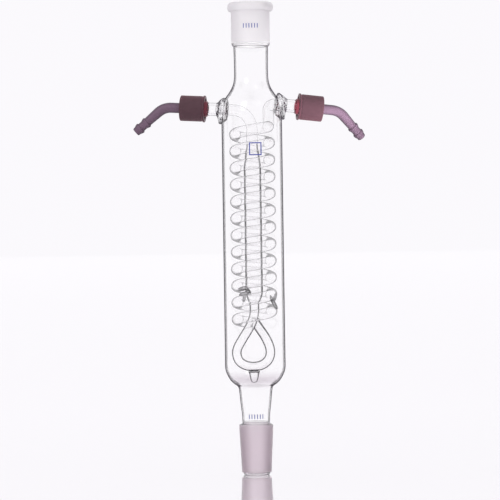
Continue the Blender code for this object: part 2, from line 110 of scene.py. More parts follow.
# Distances along a side arm, outwards from the condenser's axis.
ARM_MOUTH = 46.2 * MM
ARM_TUBE_R = 4.65 * MM
ARM_BORE_R = 3.1 * MM
ARM_MOUTH_BORE_R = 4.6 * MM
ARM_FOOT = (31.5 * MM, 34.8 * MM)
SEAL_IN = 17.6 * MM
SEAL_OUT = 25.2 * MM
SEAL_R = 9.6 * MM
SEAL_ROOM = 0.03 * MM
SEAL_FADE = 3.0 * MM  # from each end of a ring seal to where its full lean is reached
SEAL_SAG = 1.0 * MM
SHOULDER_LEAN = 0.16
THREAD_PITCH = 2.5 * MM
THREAD_CORE_R = 6.1 * MM
THREAD_CREST_R = 6.95 * MM
THREAD_FADE = 0.4  # of a pitch, over which a thread's ends die away
SKIN_DEPTH = 0.1 * MM  # how near to a radius a point has to be, to be carved
RIDGE_BASE = 1.5 * MM
RIDGE_TOP = 0.6 * MM
GLASS_THREAD = (35.4 * MM, 44.4 * MM)
CAP_THREAD = (36.65 * MM, 44.2 * MM)
CAP_MOUTH = 33.4 * MM
CAP_END = 51.2 * MM
CAP_R = 9.15 * MM
CAP_LIP_R = 9.6 * MM
CAP_INNER_R = 7.3 * MM
CAP_CREST_R = 6.5 * MM
CAP_END_WALL = 1.4 * MM
CAP_OPENING_R = 4.0 * MM
FITTING_GAP = 0.3 * MM
RING_THICKNESS = 1.5 * MM
RING_R = 6.4 * MM
RING_BORE_R = 4.3 * MM
BARB_R = 3.65 * MM
BARB_BORE_R = 1.9 * MM
SPIGOT_R = 3.9 * MM
SPIGOT_START = 43.6 * MM
FLANGE_R = 6.0 * MM
FLANGE_THICKNESS = 1.2 * MM
BARB_STRAIGHT = 7.0 * MM
BARB_BEND_R = 13.0 * MM
BARB_BEND_DEG = 43.5
BARB_TAIL = 21.8 * MM
BARB_RIDGES = (11.3 * MM, 17.5 * MM)
BARB_RIDGE_R = 4.0 * MM
BARB_TIP_R = 3.1 * MM

SIDES = {"left": 0.0, "right": 25.0}  # how far each arm's hose barb is turned, in degrees


# Node trees


def math_operator(operation, swapped=False):
    """A method that adds a Math node for its socket and one other value."""
    def method(self, other):
        return self.math(operation, *((other, self) if swapped else (self, other)))
    return method


class Socket:
    """An output of a node. Python's operators on it add Math nodes to its tree."""

    def __init__(self, tree, link):
        self.tree = tree
        self.link = link

    def math(self, operation, *values):
        return self.tree.node("ShaderNodeMath", {"operation": operation}, values)

    __add__, __radd__ = math_operator("ADD"), math_operator("ADD", True)
    __sub__, __rsub__ = math_operator("SUBTRACT"), math_operator("SUBTRACT", True)
    __mul__, __rmul__ = math_operator("MULTIPLY"), math_operator("MULTIPLY", True)
    __truediv__, __rtruediv__ = math_operator("DIVIDE"), math_operator("DIVIDE", True)
    __pow__ = math_operator("POWER")
    angle_from = math_operator("ARCTAN2")
    least, most = math_operator("MINIMUM"), math_operator("MAXIMUM")

    def __neg__(self):
        return self * -1.0

    def __abs__(self):
        return self.math("ABSOLUTE", self)

    def fraction(self):
        return self.math("FRACT", self)

    def cosine(self):
        return self.math("COSINE", self)

    def ramp(self, start, end):
        """0 at start and 1 at end, straight between them."""
        return ((self - start) / (end - start)).clamped()

    def clamped(self):
        return self.most(0.0).least(1.0)


class Tree:
    """A node tree with one way to add a node."""

    def __init__(self, nodes_of):
        self.of = nodes_of

    def node(self, kind, settings=None, values=(), output=0):
        """A node of that type: its settings first, then the values or links of its inputs."""
        made = self.of.nodes.new(kind)
        for name, value in (settings or {}).items():
            setattr(made, name, value)
        pairs = values.items() if isinstance(values, dict) else enumerate(values)
        for name, value in pairs:
            if isinstance(value, Socket):
                self.of.links.new(value.link, made.inputs[name])
            elif value is not None:
                made.inputs[name].default_value = value
        if isinstance(output, tuple):
            return [Socket(self, made.outputs[name]) for name in output]
        return Socket(self, made.outputs[output]) if made.outputs else made

    def vector(self, operation, values):
        return self.node("ShaderNodeVectorMath", {"operation": operation}, values)

    def attribute(self, name):
        return self.node("ShaderNodeAttribute", {"attribute_name": name}, (), "Fac")

    def facing(self):
        """0 where a surface is seen straight on and 1 where it is seen edge on."""
        return self.node("ShaderNodeLayerWeight", {}, {"Blend": 0.5}, "Facing")

    def blend(self, factor, one, two):
        """Two colours, or a colour in a socket, mixed by a factor."""
        one, two = (c if isinstance(c, Socket) else (*c, 1.0) for c in (one, two))
        return self.node("ShaderNodeMix", {"data_type": "RGBA"}, {0: factor, 6: one, 7: two}, 2)

    def noise(self, where, scale, detail=2.0, roughness=0.5, stretch=(1.0, 1.0, 1.0)):
        """Noise between 0 and 1, with its pattern stretched along the axes."""
        placed = self.vector("MULTIPLY", (where, stretch))
        return self.node("ShaderNodeTexNoise", {}, {
            "Vector": placed, "Scale": scale, "Detail": detail, "Roughness": roughness}, 0)

    def principled(self, values):
        return self.node("ShaderNodeBsdfPrincipled", {}, values)

    def finish(self, shader):
        self.node("ShaderNodeOutputMaterial", {}, {"Surface": shader})


def times(factor, tone):
    return tuple(factor * c for c in tone)


# Geometry Nodes


class GeometryTree(Tree):
    """A Geometry Nodes tree with named inputs. It ends in Realize Instances and Set Material."""

    def __init__(self, name, inputs):
        super().__init__(bpy.data.node_groups.new(name, "GeometryNodeTree"))
        self.identifiers = {}
        interface = self.of.interface
        interface.new_socket("Geometry", in_out="INPUT", socket_type="NodeSocketGeometry")
        for label, kind in {**inputs, "Material": "NodeSocketMaterial"}.items():
            made = interface.new_socket(label, in_out="INPUT", socket_type=kind)
            self.identifiers[label] = made.identifier
        interface.new_socket("Geometry", in_out="OUTPUT", socket_type="NodeSocketGeometry")
        self.start = self.of.nodes.new("NodeGroupInput")

    def given(self, label):
        return Socket(self, self.start.outputs[label])

    def end(self, geometry):
        real = self.node("GeometryNodeRealizeInstances", {}, (geometry,))
        painted = self.node("GeometryNodeSetMaterial", {}, {
            "Geometry": real, "Material": self.given("Material")})
        self.node("NodeGroupOutput", {}, (painted,))

    def apply(self, mesh, name, **values):
        """The plain mesh that this tree makes of a mesh."""
        obj = new_object(name, mesh)
        modifier = obj.modifiers.new(self.of.name, "NODES")
        modifier.node_group = self.of
        for label, value in values.items():
            modifier[self.identifiers[label]] = value
        return baked(obj)


def new_object(name, data):
    obj = bpy.data.objects.new(name, data)
    bpy.context.scene.collection.objects.link(obj)
    return obj


def baked(obj):
    """The plain mesh that an object's modifiers make. The object itself is removed."""
    graph = bpy.context.evaluated_depsgraph_get()
    graph.update()
    made = bpy.data.meshes.new_from_object(obj.evaluated_get(graph), depsgraph=graph)
    obj.modifiers.clear()
    bpy.data.objects.remove(obj, do_unlink=True)
    return made


def tube_tree():
    """A hollow tube along a path whose points carry its outer and bore radius, with open ends."""
    tree = GeometryTree("Hollow tube", {"Sides": "NodeSocketInt"})
    curve = tree.node("GeometryNodeMeshToCurve", {}, (tree.given("Geometry"),))
    profile = tree.node("GeometryNodeCurvePrimitiveCircle", {"mode": "RADIUS"}, {
        "Resolution": tree.given("Sides"), "Radius": 1.0})
    skins = []
    for inside, attribute in enumerate(("outer", "bore")):
        radius = tree.node(
            "GeometryNodeInputNamedAttribute", {"data_type": "FLOAT"}, {"Name": attribute})
        skin = tree.node("GeometryNodeCurveToMesh", {}, {
            "Curve": curve, "Profile Curve": profile, "Scale": radius})
        skins.append(tree.node("GeometryNodeStoreNamedAttribute", {
            "data_type": "FLOAT", "domain": "POINT"}, {
            "Geometry": skin, "Name": "bore_skin", "Value": float(inside)}))
    both = tree.of.nodes.new("GeometryNodeJoinGeometry")
    for skin in skins:
        tree.of.links.new(skin.link, both.inputs[0])
    tree.end(Socket(tree, both.outputs[0]))
    return tree


def moved_outwards(tree, amount, where):
    """Moves the points away from the Z axis by an amount, or towards it if that is negative."""
    away = tree.vector("NORMALIZE", (tree.vector("MULTIPLY", (where, (1.0, 1.0, 0.0))),))
    return moved(tree, away, amount)


def moved(tree, direction, amount):
    offset = tree.vector("SCALE", {"Vector": direction, "Scale": amount})
    return tree.node("GeometryNodeSetPosition", {}, {
        "Geometry": tree.given("Geometry"), "Offset": offset})


def radius_and_height(tree):
    """The points' positions, distance from the Z axis, angle about it and height."""
    where = tree.node("GeometryNodeInputPosition")
    x, y, z = tree.node("ShaderNodeSeparateXYZ", {}, (where,), ("X", "Y", "Z"))
    radius = (x * x + y * y) ** 0.5
    return where, radius, y.angle_from(x), z


def thread_tree():
    """A right-handed screw thread on the part of a turned shape that lies at the root radius."""
    floats = (
        "Pitch", "Start", "End", "First Ridge", "Root Radius", "Rise", "Base Width", "Top Width")
    tree = GeometryTree("Screw thread", dict.fromkeys(floats, "NodeSocketFloat"))
    where, radius, angle, z = radius_and_height(tree)
    pitch = tree.given("Pitch")
    turns = (z - tree.given("First Ridge")) / pitch - angle / (2 * math.pi)
    from_ridge = abs((turns + 0.5).fraction() - 0.5) * pitch
    half_base, half_top = tree.given("Base Width") / 2, tree.given("Top Width") / 2
    ridge = ((half_base - from_ridge) / (half_base - half_top)).clamped()
    start, end = tree.given("Start"), tree.given("End")
    fade = z.ramp(start, start + pitch * THREAD_FADE) * (1 - z.ramp(end - pitch * THREAD_FADE, end))
    at_root = 1 - (abs(radius - tree.given("Root Radius")) / SKIN_DEPTH).clamped()
    tree.end(moved_outwards(tree, tree.given("Rise") * ridge * fade * at_root, where))
    return tree


def thread_values(first, last, root, crest, material, lead=0.0):
    """The thread tree's inputs for ridges from first to last, with a lead before the first."""
    return {
        "Pitch": THREAD_PITCH,
        "Start": first - lead - RIDGE_BASE / 2,
        "End": last + RIDGE_BASE / 2,
        "First Ridge": first,
        "Root Radius": root,
        "Rise": crest - root,
        "Base Width": RIDGE_BASE,
        "Top Width": RIDGE_TOP,
        "Material": material,
    }


def ribs_tree():
    """Fine grip ribs, cut into the part of a turned shape that lies at the outer radius."""
    kinds = {"Ribs": "NodeSocketInt", "Depth": "NodeSocketFloat", "Outer Radius": "NodeSocketFloat"}
    tree = GeometryTree("Grip ribs", kinds)
    where, radius, angle, _ = radius_and_height(tree)
    groove = 0.5 - (angle * tree.given("Ribs")).cosine() * 0.5
    at_side = 1 - (abs(radius - tree.given("Outer Radius")) / SKIN_DEPTH).clamped()
    tree.end(moved_outwards(tree, -(tree.given("Depth") * groove**2.0 * at_side), where))
    return tree


def worked_tree():
    """The uneven skin of glass that was worked by hand in a flame."""
    kinds = {"Depth": "NodeSocketFloat", "Lump Size": "NodeSocketFloat", "Seed": "NodeSocketFloat"}
    tree = GeometryTree("Flame-worked skin", kinds)
    where = tree.node("GeometryNodeInputPosition")
    lumps = tree.node("ShaderNodeTexNoise", {"noise_dimensions": "4D"}, {
        "Vector": where, "W": tree.given("Seed"), "Scale": 1 / tree.given("Lump Size"),
        "Detail": 1.5}, 0)
    normal = tree.node("GeometryNodeInputNormal")
    tree.end(moved(tree, normal, (lumps - 0.5) * 2 * tree.given("Depth")))
    return tree


# Meshes


def rounded(corners, closed=True, step_deg=12.0):
    """An outline of (radius, height, rounding) corners with every rounded corner as an arc."""
    outline = []
    for i, (x, y, rounding) in enumerate(corners):
        here = Vector((x, y))
        at_end = not closed and i in (0, len(corners) - 1)
        if rounding == 0 or at_end:
            outline.append((x, y))
            continue
        before = Vector(corners[i - 1][:2])
        after = Vector(corners[(i + 1) % len(corners)][:2])
        into, out = (here - before).normalized(), (after - here).normalized()
        turn = into.angle_signed(out)
        if abs(turn) < math.radians(1):
            outline.append((x, y))
            continue
        cut = rounding * math.tan(abs(turn) / 2)
        start = here - into * cut
        side = Vector((into.y, -into.x)) * (1 if turn > 0 else -1)
        centre = start + side * rounding
        steps = max(2, round(abs(math.degrees(turn)) / step_deg))
        for k in range(steps + 1):
            spin = Matrix.Rotation(-turn * k / steps, 2)
            point = centre + spin @ (start - centre)
            outline.append((point.x, point.y))
    return outline


def split(outline, longest, closed=True):
    """The same outline with extra points, so that no run is longer than a given length."""
    finer = []
    pairs = list(zip(outline, outline[1:] + outline[:1]))
    for one, two in pairs if closed else pairs[:-1]:
        run = Vector(two) - Vector(one)
        steps = max(1, math.ceil(run.length / longest))
        finer += [tuple(Vector(one) + run * k / steps) for k in range(steps)]
    return finer if closed else finer + [outline[-1]]


def lathe(name, outline, steps, material, closed=True):
    """A mesh turned about Z from an outline of (radius, height) points."""
    bm = bmesh.new()
    rings = []
    for k in range(steps):
        angle = 2 * math.pi * k / steps
        across = (math.cos(angle), math.sin(angle))
        rings.append([bm.verts.new((r * across[0], r * across[1], z)) for r, z in outline])
    count = len(outline)
    for k, one in enumerate(rings):
        two = rings[(k + 1) % steps]
        for i in range(count if closed else count - 1):
            j = (i + 1) % count
            bm.faces.new((one[i], two[i], two[j], one[j]))
    bmesh.ops.remove_doubles(bm, verts=bm.verts, dist=MERGE)
    return mesh_of(bm, name, material)


def mesh_of(bm, name, material):
    """A smooth mesh from a closed bmesh, with sharp corners and faces that point outwards."""
    bmesh.ops.dissolve_degenerate(bm, edges=bm.edges, dist=MERGE)
    bmesh.ops.recalc_face_normals(bm, faces=bm.faces)
    mesh = bpy.data.meshes.new(name)
    bm.to_mesh(mesh)
    bm.free()
    mesh.materials.append(material)
    mesh.shade_smooth()
    mesh.set_sharp_from_angle(angle=SHARP_ANGLE)
    return mesh


def smooth_path(points, per_span):
    """A Catmull-Rom curve through the points, with per_span steps between two of them."""
    path = []
    for i in range(len(points) - 1):
        a = points[max(i - 1, 0)]
        b, c = points[i], points[i + 1]
        d = points[min(i + 2, len(points) - 1)]
        for step in range(per_span):
            t = step / per_span
            path.append(
                0.5 * (2 * b + (c - a) * t + (2 * a - 5 * b + 4 * c - d) * t**2
                       + (3 * b - a - 3 * c + d) * t**3)
            )
    return path + [points[-1]]


def rounded_path(points, radii, step_deg=6.0):
    """Straight runs between the points, with each inner corner rounded to its radius."""
    path = [points[0]]
    for before, corner, after, radius in zip(points, points[1:], points[2:], radii):
        into, out = (corner - before).normalized(), (after - corner).normalized()
        turn = into.angle(out)
        cut = radius * math.tan(turn / 2)
        axis = into.cross(out).normalized()
        start = corner - into * cut
        centre = start + axis.cross(into) * radius
        steps = max(1, round(math.degrees(turn) / step_deg))
        for step in range(steps + 1):
            spin = Matrix.Rotation(turn * step / steps, 3, axis)
            path.append(centre + spin @ (start - centre))
    return path + [points[-1]]


def tube(name, path, outer, bore, sides, material, tree):
    """A hollow tube along a path, from the tree, with each end's outer and bore edge joined."""
    wire = bpy.data.meshes.new(name)
    wire.from_pydata([tuple(p) for p in path], [(i, i + 1) for i in range(len(path) - 1)], [])
    for label, radii in (("outer", outer), ("bore", bore)):
        attribute = wire.attributes.new(label, "FLOAT", "POINT")
        attribute.data.foreach_set("value", radii)
    skins = tree.apply(wire, name, Sides=sides, Material=material)
    bm = bmesh.new()
    bm.from_mesh(skins)
    bm.verts.ensure_lookup_table()
    skin = len(bm.verts) // 2
    for first in (0, skin - sides):
        for k in range(sides):
            one, two = first + k, first + (k + 1) % sides
            bm.faces.new([bm.verts[i] for i in (one, two, two + skin, one + skin)])
    bpy.data.meshes.remove(skins)
    return mesh_of(bm, name, material)


def even_tube(name, path, outer, bore, material, tree, sides=24):
    return tube(name, path, [outer] * len(path), [bore] * len(path), sides, material, tree)


def place(name, mesh, body, slot, *nodes):
    """Puts a finished piece in the scene, on its body, in place of its CAD nodes."""
    mesh.name = name
    obj = new_object(name, mesh)
    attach(obj, body)
    if nodes:
        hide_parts(*nodes)
    return obj


def place_glass(mesh, node, slot="clear_glass"):
    place(f"{node}_glass", mesh, "glass", slot, node)


def arm_matrix(side):
    """An arm's frame: local Z runs outwards along it from the axis, and local X upwards."""
    joint = next(j for j in frame["joints"] if j["name"] == f"{side}_cap_turn")
    out = Vector(joint["axis"]).normalized()
    mouth = Vector(joint["pos_m"])
    up = Vector((0, 0, 1))
    up = (up - out * up.dot(out)).normalized()
    turn = Matrix((up, out.cross(up), out)).transposed()
    return Matrix.Translation(mouth - out * ARM_MOUTH) @ turn.to_4x4()


# Materials


def new_material(name):
    """A material with its empty tree and its object coordinates."""
    made = bpy.data.materials.new(name)
    made.use_nodes = True
    made.node_tree.nodes.clear()
    tree = Tree(made.node_tree)
    return made, tree, tree.node("ShaderNodeTexCoord", {}, (), "Object")


def bump(tree, height, distance):
    return tree.node("ShaderNodeBump", {}, {
        "Strength": 1.0, "Distance": distance, "Height": height})


def glass_shader(tree, where, look, band, outline, stretch=(1, 1, 1), ripple=0.02 * MM):
    """Glass with drawn ripples, and an outline of painted shade where its outer skin is seen edge
    on.
    """
    streaks = tree.noise(where, 240.0, 2.0, 0.5, stretch)
    tint = tree.blend(streaks, look.tint, times(0.998, look.tint))
    clear = tree.principled({
        # Painted shade: a grey band round the bowl, mixed into the glass's colour.
        "Base Color": tree.blend(tree.attribute("painted_bowl_shade"), tint, look.painted_bowl_shade),
        "Roughness": 0.0,
        "IOR": look.ior,
        "Transmission Weight": 1.0,
        "Normal": bump(tree, streaks, ripple),
    })
    # Painted shade: a dark, matt surface that draws the glass's outline.
    painted_outline_shade = tree.principled({
        "Base Color": tree.blend(streaks, look.edge, times(1.2, look.edge)),
        "Roughness": 0.6,
        "Specular IOR Level": 0.0,
    })
    # The painted outline shade comes in where the outer skin is seen edge on. It starts earlier on
    # the necks and never reaches a bore.
    edge_on = (tree.facing() + tree.attribute("slim") * SLIM_OUTLINE).ramp(*band)
    share = edge_on * outline * (1 - tree.attribute("bore_skin"))
    return tree.node("ShaderNodeMixShader", {}, (share, clear, painted_outline_shade))


def clear_glass(name, *values, **more):
    made, tree, where = new_material(name)
    tree.finish(glass_shader(tree, where, *values, **more))
    return made


def arm_glass(name, look, tone):
    """Clear glass whose thickened foot of the thread is painted with the cap's red: a painted
    refraction of the cap round it.
    """
    made, tree, where = new_material(name)
    glass = glass_shader(tree, where, look, (0.50, 0.72), 0.3)
    along = tree.attribute("along")
    flow = tree.noise(where, 500.0, 2.0, 0.5)
    soft = 0.25 * MM
    foot_start, foot_end = ARM_FOOT
    foot = along.ramp(foot_start - soft, foot_start) * (1 - along.ramp(foot_end, foot_end + soft))
    # Painted refraction: the cap's red, mixed in where the thread's foot is.
    painted_cap_refraction = tree.principled({
        "Base Color": tree.blend(flow, times(0.75, tone), times(1.2, tone)),
        "Roughness": 0.25 + flow * 0.1,
        "Specular IOR Level": 0.3,
    })
    mixed = tree.node("ShaderNodeMixShader", {}, (foot * (0.88 + flow * 0.1), glass, painted_cap_refraction))
    tree.finish(mixed)
    return made


def ground_glass(name, look, tone, painted_rim_light_and_shade, band, clearness, low, high):
    """Glass that is ground to a matt skin between two heights and stays clear outside them."""
    made, tree, where = new_material(name)
    z = tree.node("ShaderNodeSeparateXYZ", {}, (where,), "Z")
    grain = tree.noise(where, 9000.0, 3.0, 0.7)
    cloud = tree.noise(where, 160.0, 3.0, 0.6)
    rings = tree.noise(where, 1500.0, 2.0, 0.5, (0.05, 0.05, 1.0))
    soft = 0.35 * MM
    mask = z.ramp(low - soft, low + soft) * (1 - z.ramp(high - soft, high + soft))
    facing = tree.facing()
    frosted = tree.blend(cloud, tone, times(0.97, tone))
    # Painted shade: the frosted skin darkens towards its outline, where it is seen edge on.
    frosted = tree.blend(facing.ramp(*band), frosted, painted_rim_light_and_shade)
    # Painted shade: the clear glass gets the dark outline colour where it is seen edge on.
    clear = tree.blend(facing.ramp(0.5, 0.7), look.tint, look.edge)
    tree.finish(tree.principled({
        "Base Color": tree.blend(mask, clear, frosted),
        "Roughness": mask * (look.ground_roughness + (cloud - 0.5) * 0.12),
        "IOR": look.ior,
        "Transmission Weight": clearness,
        "Normal": bump(tree, mask * (grain * 0.7 + rings * 0.3), 0.02 * MM),
    }))
    return made


def moulded_plastic(name, tone, painted_rim_light_and_shade, roughness, band):
    """Satin moulded plastic with a fine skin, faint flow marks and a rim of another tone where it
    is seen edge on: painted light on the caps, painted shade on the barbs.
    """
    made, tree, where = new_material(name)
    skin = tree.noise(where, 5200.0, 3.0, 0.6)
    flow = tree.noise(where, 210.0, 3.0, 0.55)
    facing = tree.facing()
    body = tree.blend(flow, times(0.86, tone), times(1.14, tone))
    tree.finish(tree.principled({
        # Painted light and shade: the rim tone where the surface is seen edge on.
        "Base Color": tree.blend(facing.ramp(*band), body, painted_rim_light_and_shade),
        "Roughness": roughness + (flow - 0.5) * 0.12 + (skin - 0.5) * 0.06,
        "IOR": 1.5,
        "Specular IOR Level": 0.2,
        "Normal": bump(tree, skin, 0.012 * MM),
    }))
    return made


def silicone(name, tone):
    made, tree, where = new_material(name)
    skin = tree.noise(where, 4000.0, 2.0, 0.6)
    body = tree.blend(skin, times(0.92, tone), tone)
    tree.finish(tree.principled({
        "Base Color": body,
        "Roughness": 0.5 + skin * 0.15,
        "Subsurface Weight": 0.3,
        "Subsurface Scale": 0.002,
        "Normal": bump(tree, skin, 0.01 * MM),
    }))
    return made


def enamel(name, tone):
    made, tree, where = new_material(name)
    grain = tree.noise(where, 3000.0, 2.0, 0.6)
    tree.finish(tree.principled({
        "Base Color": tree.blend(grain, times(0.85, tone), tone),
        "Roughness": 0.35 + grain * 0.2,
        "Normal": bump(tree, grain, 0.01 * MM),
    }))
    return made


def floor_surface(name, tone):
    """A pale, polished studio table."""
    made, tree, where = new_material(name)
    cloud = tree.noise(where, 6.0, 3.0, 0.5)
    tree.finish(tree.principled({
        "Base Color": tree.blend(cloud, tone, times(0.985, tone)),
        "Roughness": 0.09 + cloud * 0.03,
        "IOR": 1.45,
        "Metallic": 0.4,
        "Coat Weight": 1.0,
        "Coat Roughness": 0.025,
    }))
    return made


# Settings


def tone(name, description, default, most=1.0):
    return FloatVectorProperty(
        name=name, description=description, subtype="COLOR", default=default, min=0, max=most)


def length(name, description, default, least, most):
    return FloatProperty(
        name=name, description=description, unit="LENGTH", default=default, min=least, max=most)


class GlassLook(bpy.types.PropertyGroup):
    """Colours and optical values of the glass."""

    tint: tone("Tint", "Colour of the clear glass", (1.0, 0.999, 1.0))
    # Painted shade: the dark outline that the glass gets where a wall is seen edge on.
    edge: tone("Edge", "Colour of the glass where a wall is seen edge on", (0.030, 0.022, 0.034))
    # Painted shade: the grey of a band round the bowl, where the jacket flares out.
    painted_bowl_shade: tone("Haze", "Tint of the bowl, where the jacket's wall is thickest", (0.86, 0.83, 0.855))
    ior: FloatProperty(
        name="Refractive index", description="Refractive index of the glass",
        default=1.474, min=1, max=2)
    socket: tone("Ground socket", "Colour of the ground socket", (1.0, 0.985, 0.995))
    # Painted shade along the ground socket's outline.
    painted_socket_edge_shade: tone(
        "Socket edge", "Colour along the outline of the ground socket", (0.90, 0.87, 0.895))
    # Painted shade: the cone's tone is a darker, pinker copy of the socket's, for the floor and
    # darker surroundings below it.
    cone: tone("Ground cone", "Colour of the ground cone", (1.0, 0.93, 0.97))
    # Painted shade along the ground cone's outline.
    painted_cone_edge_shade: tone("Cone edge", "Colour along the outline of the ground cone", (0.74, 0.65, 0.70))
    ground_roughness: FloatProperty(
        name="Ground roughness", description="Roughness of the ground joints",
        default=0.42, min=0, max=1)
    enamel: tone("Enamel", "Colour of the printed marks", (0.09, 0.11, 0.42))


class GlassSizes(bpy.types.PropertyGroup):
    """Sizes of the glass parts."""

    wall: length("Wall", "Thickness of the jacket and the necks", 0.85 * MM, 0.5 * MM, 4 * MM)
    coil_radius: length(
        "Coil radius", "From the axis to the middle of the coil's tube", 12.4 * MM, 8 * MM, 15 * MM)
    tube_radius: length("Tube radius", "Outer radius of the coil's tube", 4.0 * MM, 2 * MM, 5 * MM)
    tube_bore: length("Tube bore", "Bore radius of the coil's tube", 3.75 * MM, 1 * MM, 4 * MM)
    centre_radius: length(
        "Centre tube radius", "Outer radius of the wide tube on the axis",
        6.15 * MM, 4 * MM, 8 * MM)
    loop_radius: length(
        "Loop radius", "Outer radius of the lower loop's tube", 3.4 * MM, 2 * MM, 4 * MM)
    loop_bore: length("Loop bore", "Bore radius of the lower loop's tube", 2.6 * MM, 1 * MM, 3 * MM)
    turn_steps: IntProperty(
        name="Steps to a turn", description="Points on the coil's path in one turn",
        default=40, min=12, max=96)


class FittingLook(bpy.types.PropertyGroup):
    """Colours and fine sizes of the caps, barbs and rings."""

    cap: tone("Cap", "Colour of the screw caps", (0.090, 0.043, 0.055))
    # Painted light: a lighter red rim where a cap is seen edge on.
    painted_cap_rim_light: tone(
        "Cap rim", "Colour of the caps where they are seen edge on", (0.13, 0.042, 0.058))
    # Painted refraction: the cap's red, painted on the glass at the cap's mouth.
    foot: tone(
        "Thread foot", "Colour that the caps lend to the glass at their mouths",
        (0.20, 0.035, 0.055))
    barb: tone("Barb", "Colour of the hose barbs", (0.18, 0.115, 0.165))
    # Painted shade: a darker rim where a hose barb is seen edge on.
    painted_barb_rim_shade: tone(
        "Barb rim", "Colour of the hose barbs where they are seen edge on", (0.07, 0.048, 0.068))
    ring: tone("Sealing ring", "Colour of the silicone rings", (0.75, 0.74, 0.70))
    ribs: IntProperty(
        name="Ribs", description="Grip ribs round a cap", default=56, min=12, max=90)
    rib_depth: length(
        "Rib depth", "Depth of the grooves between a cap's ribs", 0.12 * MM, 0, 0.5 * MM)


class StageLook(bpy.types.PropertyGroup):
    """The studio: surroundings, floor and camera."""

    surroundings: tone("Surroundings", "Light of the studio's walls", (0.965, 0.950, 0.980), 2)
    floor: tone("Floor", "Colour of the table", (0.985, 0.97, 0.99))
    camera_distance: length("Camera distance", "From the condenser's axis", 1.8, 0.5, 5)
    eye_height: length("Eye height", "Height of the camera above the table", 0.165, 0, 2)
    lens: FloatProperty(
        name="Lens", description="Focal length in millimetres", default=181.4, min=20, max=400)
    camera_roll: FloatProperty(
        name="Camera roll", description="Turn of the camera about its line of sight",
        subtype="ANGLE", default=math.radians(0.85))


# Pieces


def jacket_outline(wall):
    """The jacket with both its necks: its outer line from the cone joint up, then its inner one."""
    bowl = [
        (LOWER_NECK_R, CONE_TOP_Z + WELD_GAP),
        (LOWER_NECK_R + 0.2 * MM, 43.0 * MM),
        (10.9 * MM, 51.0 * MM),
        (11.8 * MM, 60.0 * MM),
        (12.6 * MM, 63.0 * MM),
        (15.2 * MM, 65.0 * MM),
        (17.8 * MM, 67.6 * MM),
        (19.7 * MM, 70.8 * MM),
        (21.0 * MM, 73.8 * MM),
        (JACKET_R, 77.2 * MM),
        (JACKET_R, 82.0 * MM),
    ]
    shoulder = [
        (JACKET_R, 250.0 * MM),
        (JACKET_R, 256.5 * MM),
        (21.1 * MM, 261.5 * MM),
        (20.2 * MM, 265.8 * MM),
        (18.4 * MM, 269.6 * MM),
        (16.1 * MM, 272.8 * MM),
        (13.8 * MM, 276.8 * MM),
        (12.5 * MM, 281.0 * MM),
        (UPPER_NECK_R - 0.2 * MM, 286.0 * MM),
        (UPPER_NECK_R - 0.2 * MM, 296.0 * MM),
        (UPPER_NECK_R, SOCKET_Z - WELD_GAP),
    ]
    outer = [p for part in (bowl, shoulder) for p in smooth_path([Vector(q) for q in part], 5)]
    inner = []
    for i, here in enumerate(outer):
        run = (outer[min(i + 1, len(outer) - 1)] - outer[max(i - 1, 0)]).normalized()
        at_end = i in (0, len(outer) - 1)
        inner.append(here + (Vector((-wall, 0)) if at_end else wall * Vector((-run.y, run.x))))
    return [tuple(p) for p in outer + inner[::-1]]


def leaned(mesh, side):
    """A ring seal's mesh, or its hole's, leaned so that it lies along the slope of the shoulder."""
    arm = arm_matrix(side)
    lean = SHOULDER_LEAN - arm.col[2].z
    for vertex in mesh.vertices:
        x, _, z = vertex.co
        rise, fall = (z - SEAL_IN) / SEAL_FADE, (SEAL_OUT - z) / SEAL_FADE
        share = min(max(rise, 0), 1) * min(max(fall, 0), 1)
        vertex.co.z -= lean * x * share
        vertex.co.x -= SEAL_SAG * share * min(vertex.co.xy.length / ARM_TUBE_R - 1, 1)
    mesh.transform(arm)
    return mesh


def seal_outline(grow=0.0, bored=True):
    """A ring seal's outline or, with grow and no bore, the solid that makes room for it."""
    inside = ARM_BORE_R if bored else 0.0
    middle = (SEAL_IN + SEAL_OUT) / 2
    corners = [
        (inside, SEAL_IN - grow, 0),
        (SEAL_R - 2.2 * MM + grow, SEAL_IN - grow, 0.9 * MM),
        (SEAL_R - 0.2 * MM + grow, middle - 0.9 * MM, 1.6 * MM),
        (SEAL_R - 0.3 * MM + grow, middle + 0.6 * MM, 1.2 * MM),
        (ARM_TUBE_R + 1.6 * MM + grow, SEAL_OUT - 1.5 * MM + grow, 1.5 * MM),
        (ARM_TUBE_R + 0.1 * MM + grow, SEAL_OUT - 0.2 * MM + grow, 0.2 * MM),
        (ARM_TUBE_R + grow, SEAL_OUT + grow, 0),
        (inside, SEAL_OUT + grow, 0),
    ]
    return rounded(corners, closed=bored)


class CondenserOperator:
    """What the operators share."""

    bl_options = {"REGISTER", "UNDO"}

    def tree(self, maker):
        """The node tree of that maker, made on first use."""
        trees = CondenserOperator.trees
        if maker not in trees:
            trees[maker] = maker()
        return trees[maker]

    trees = {}


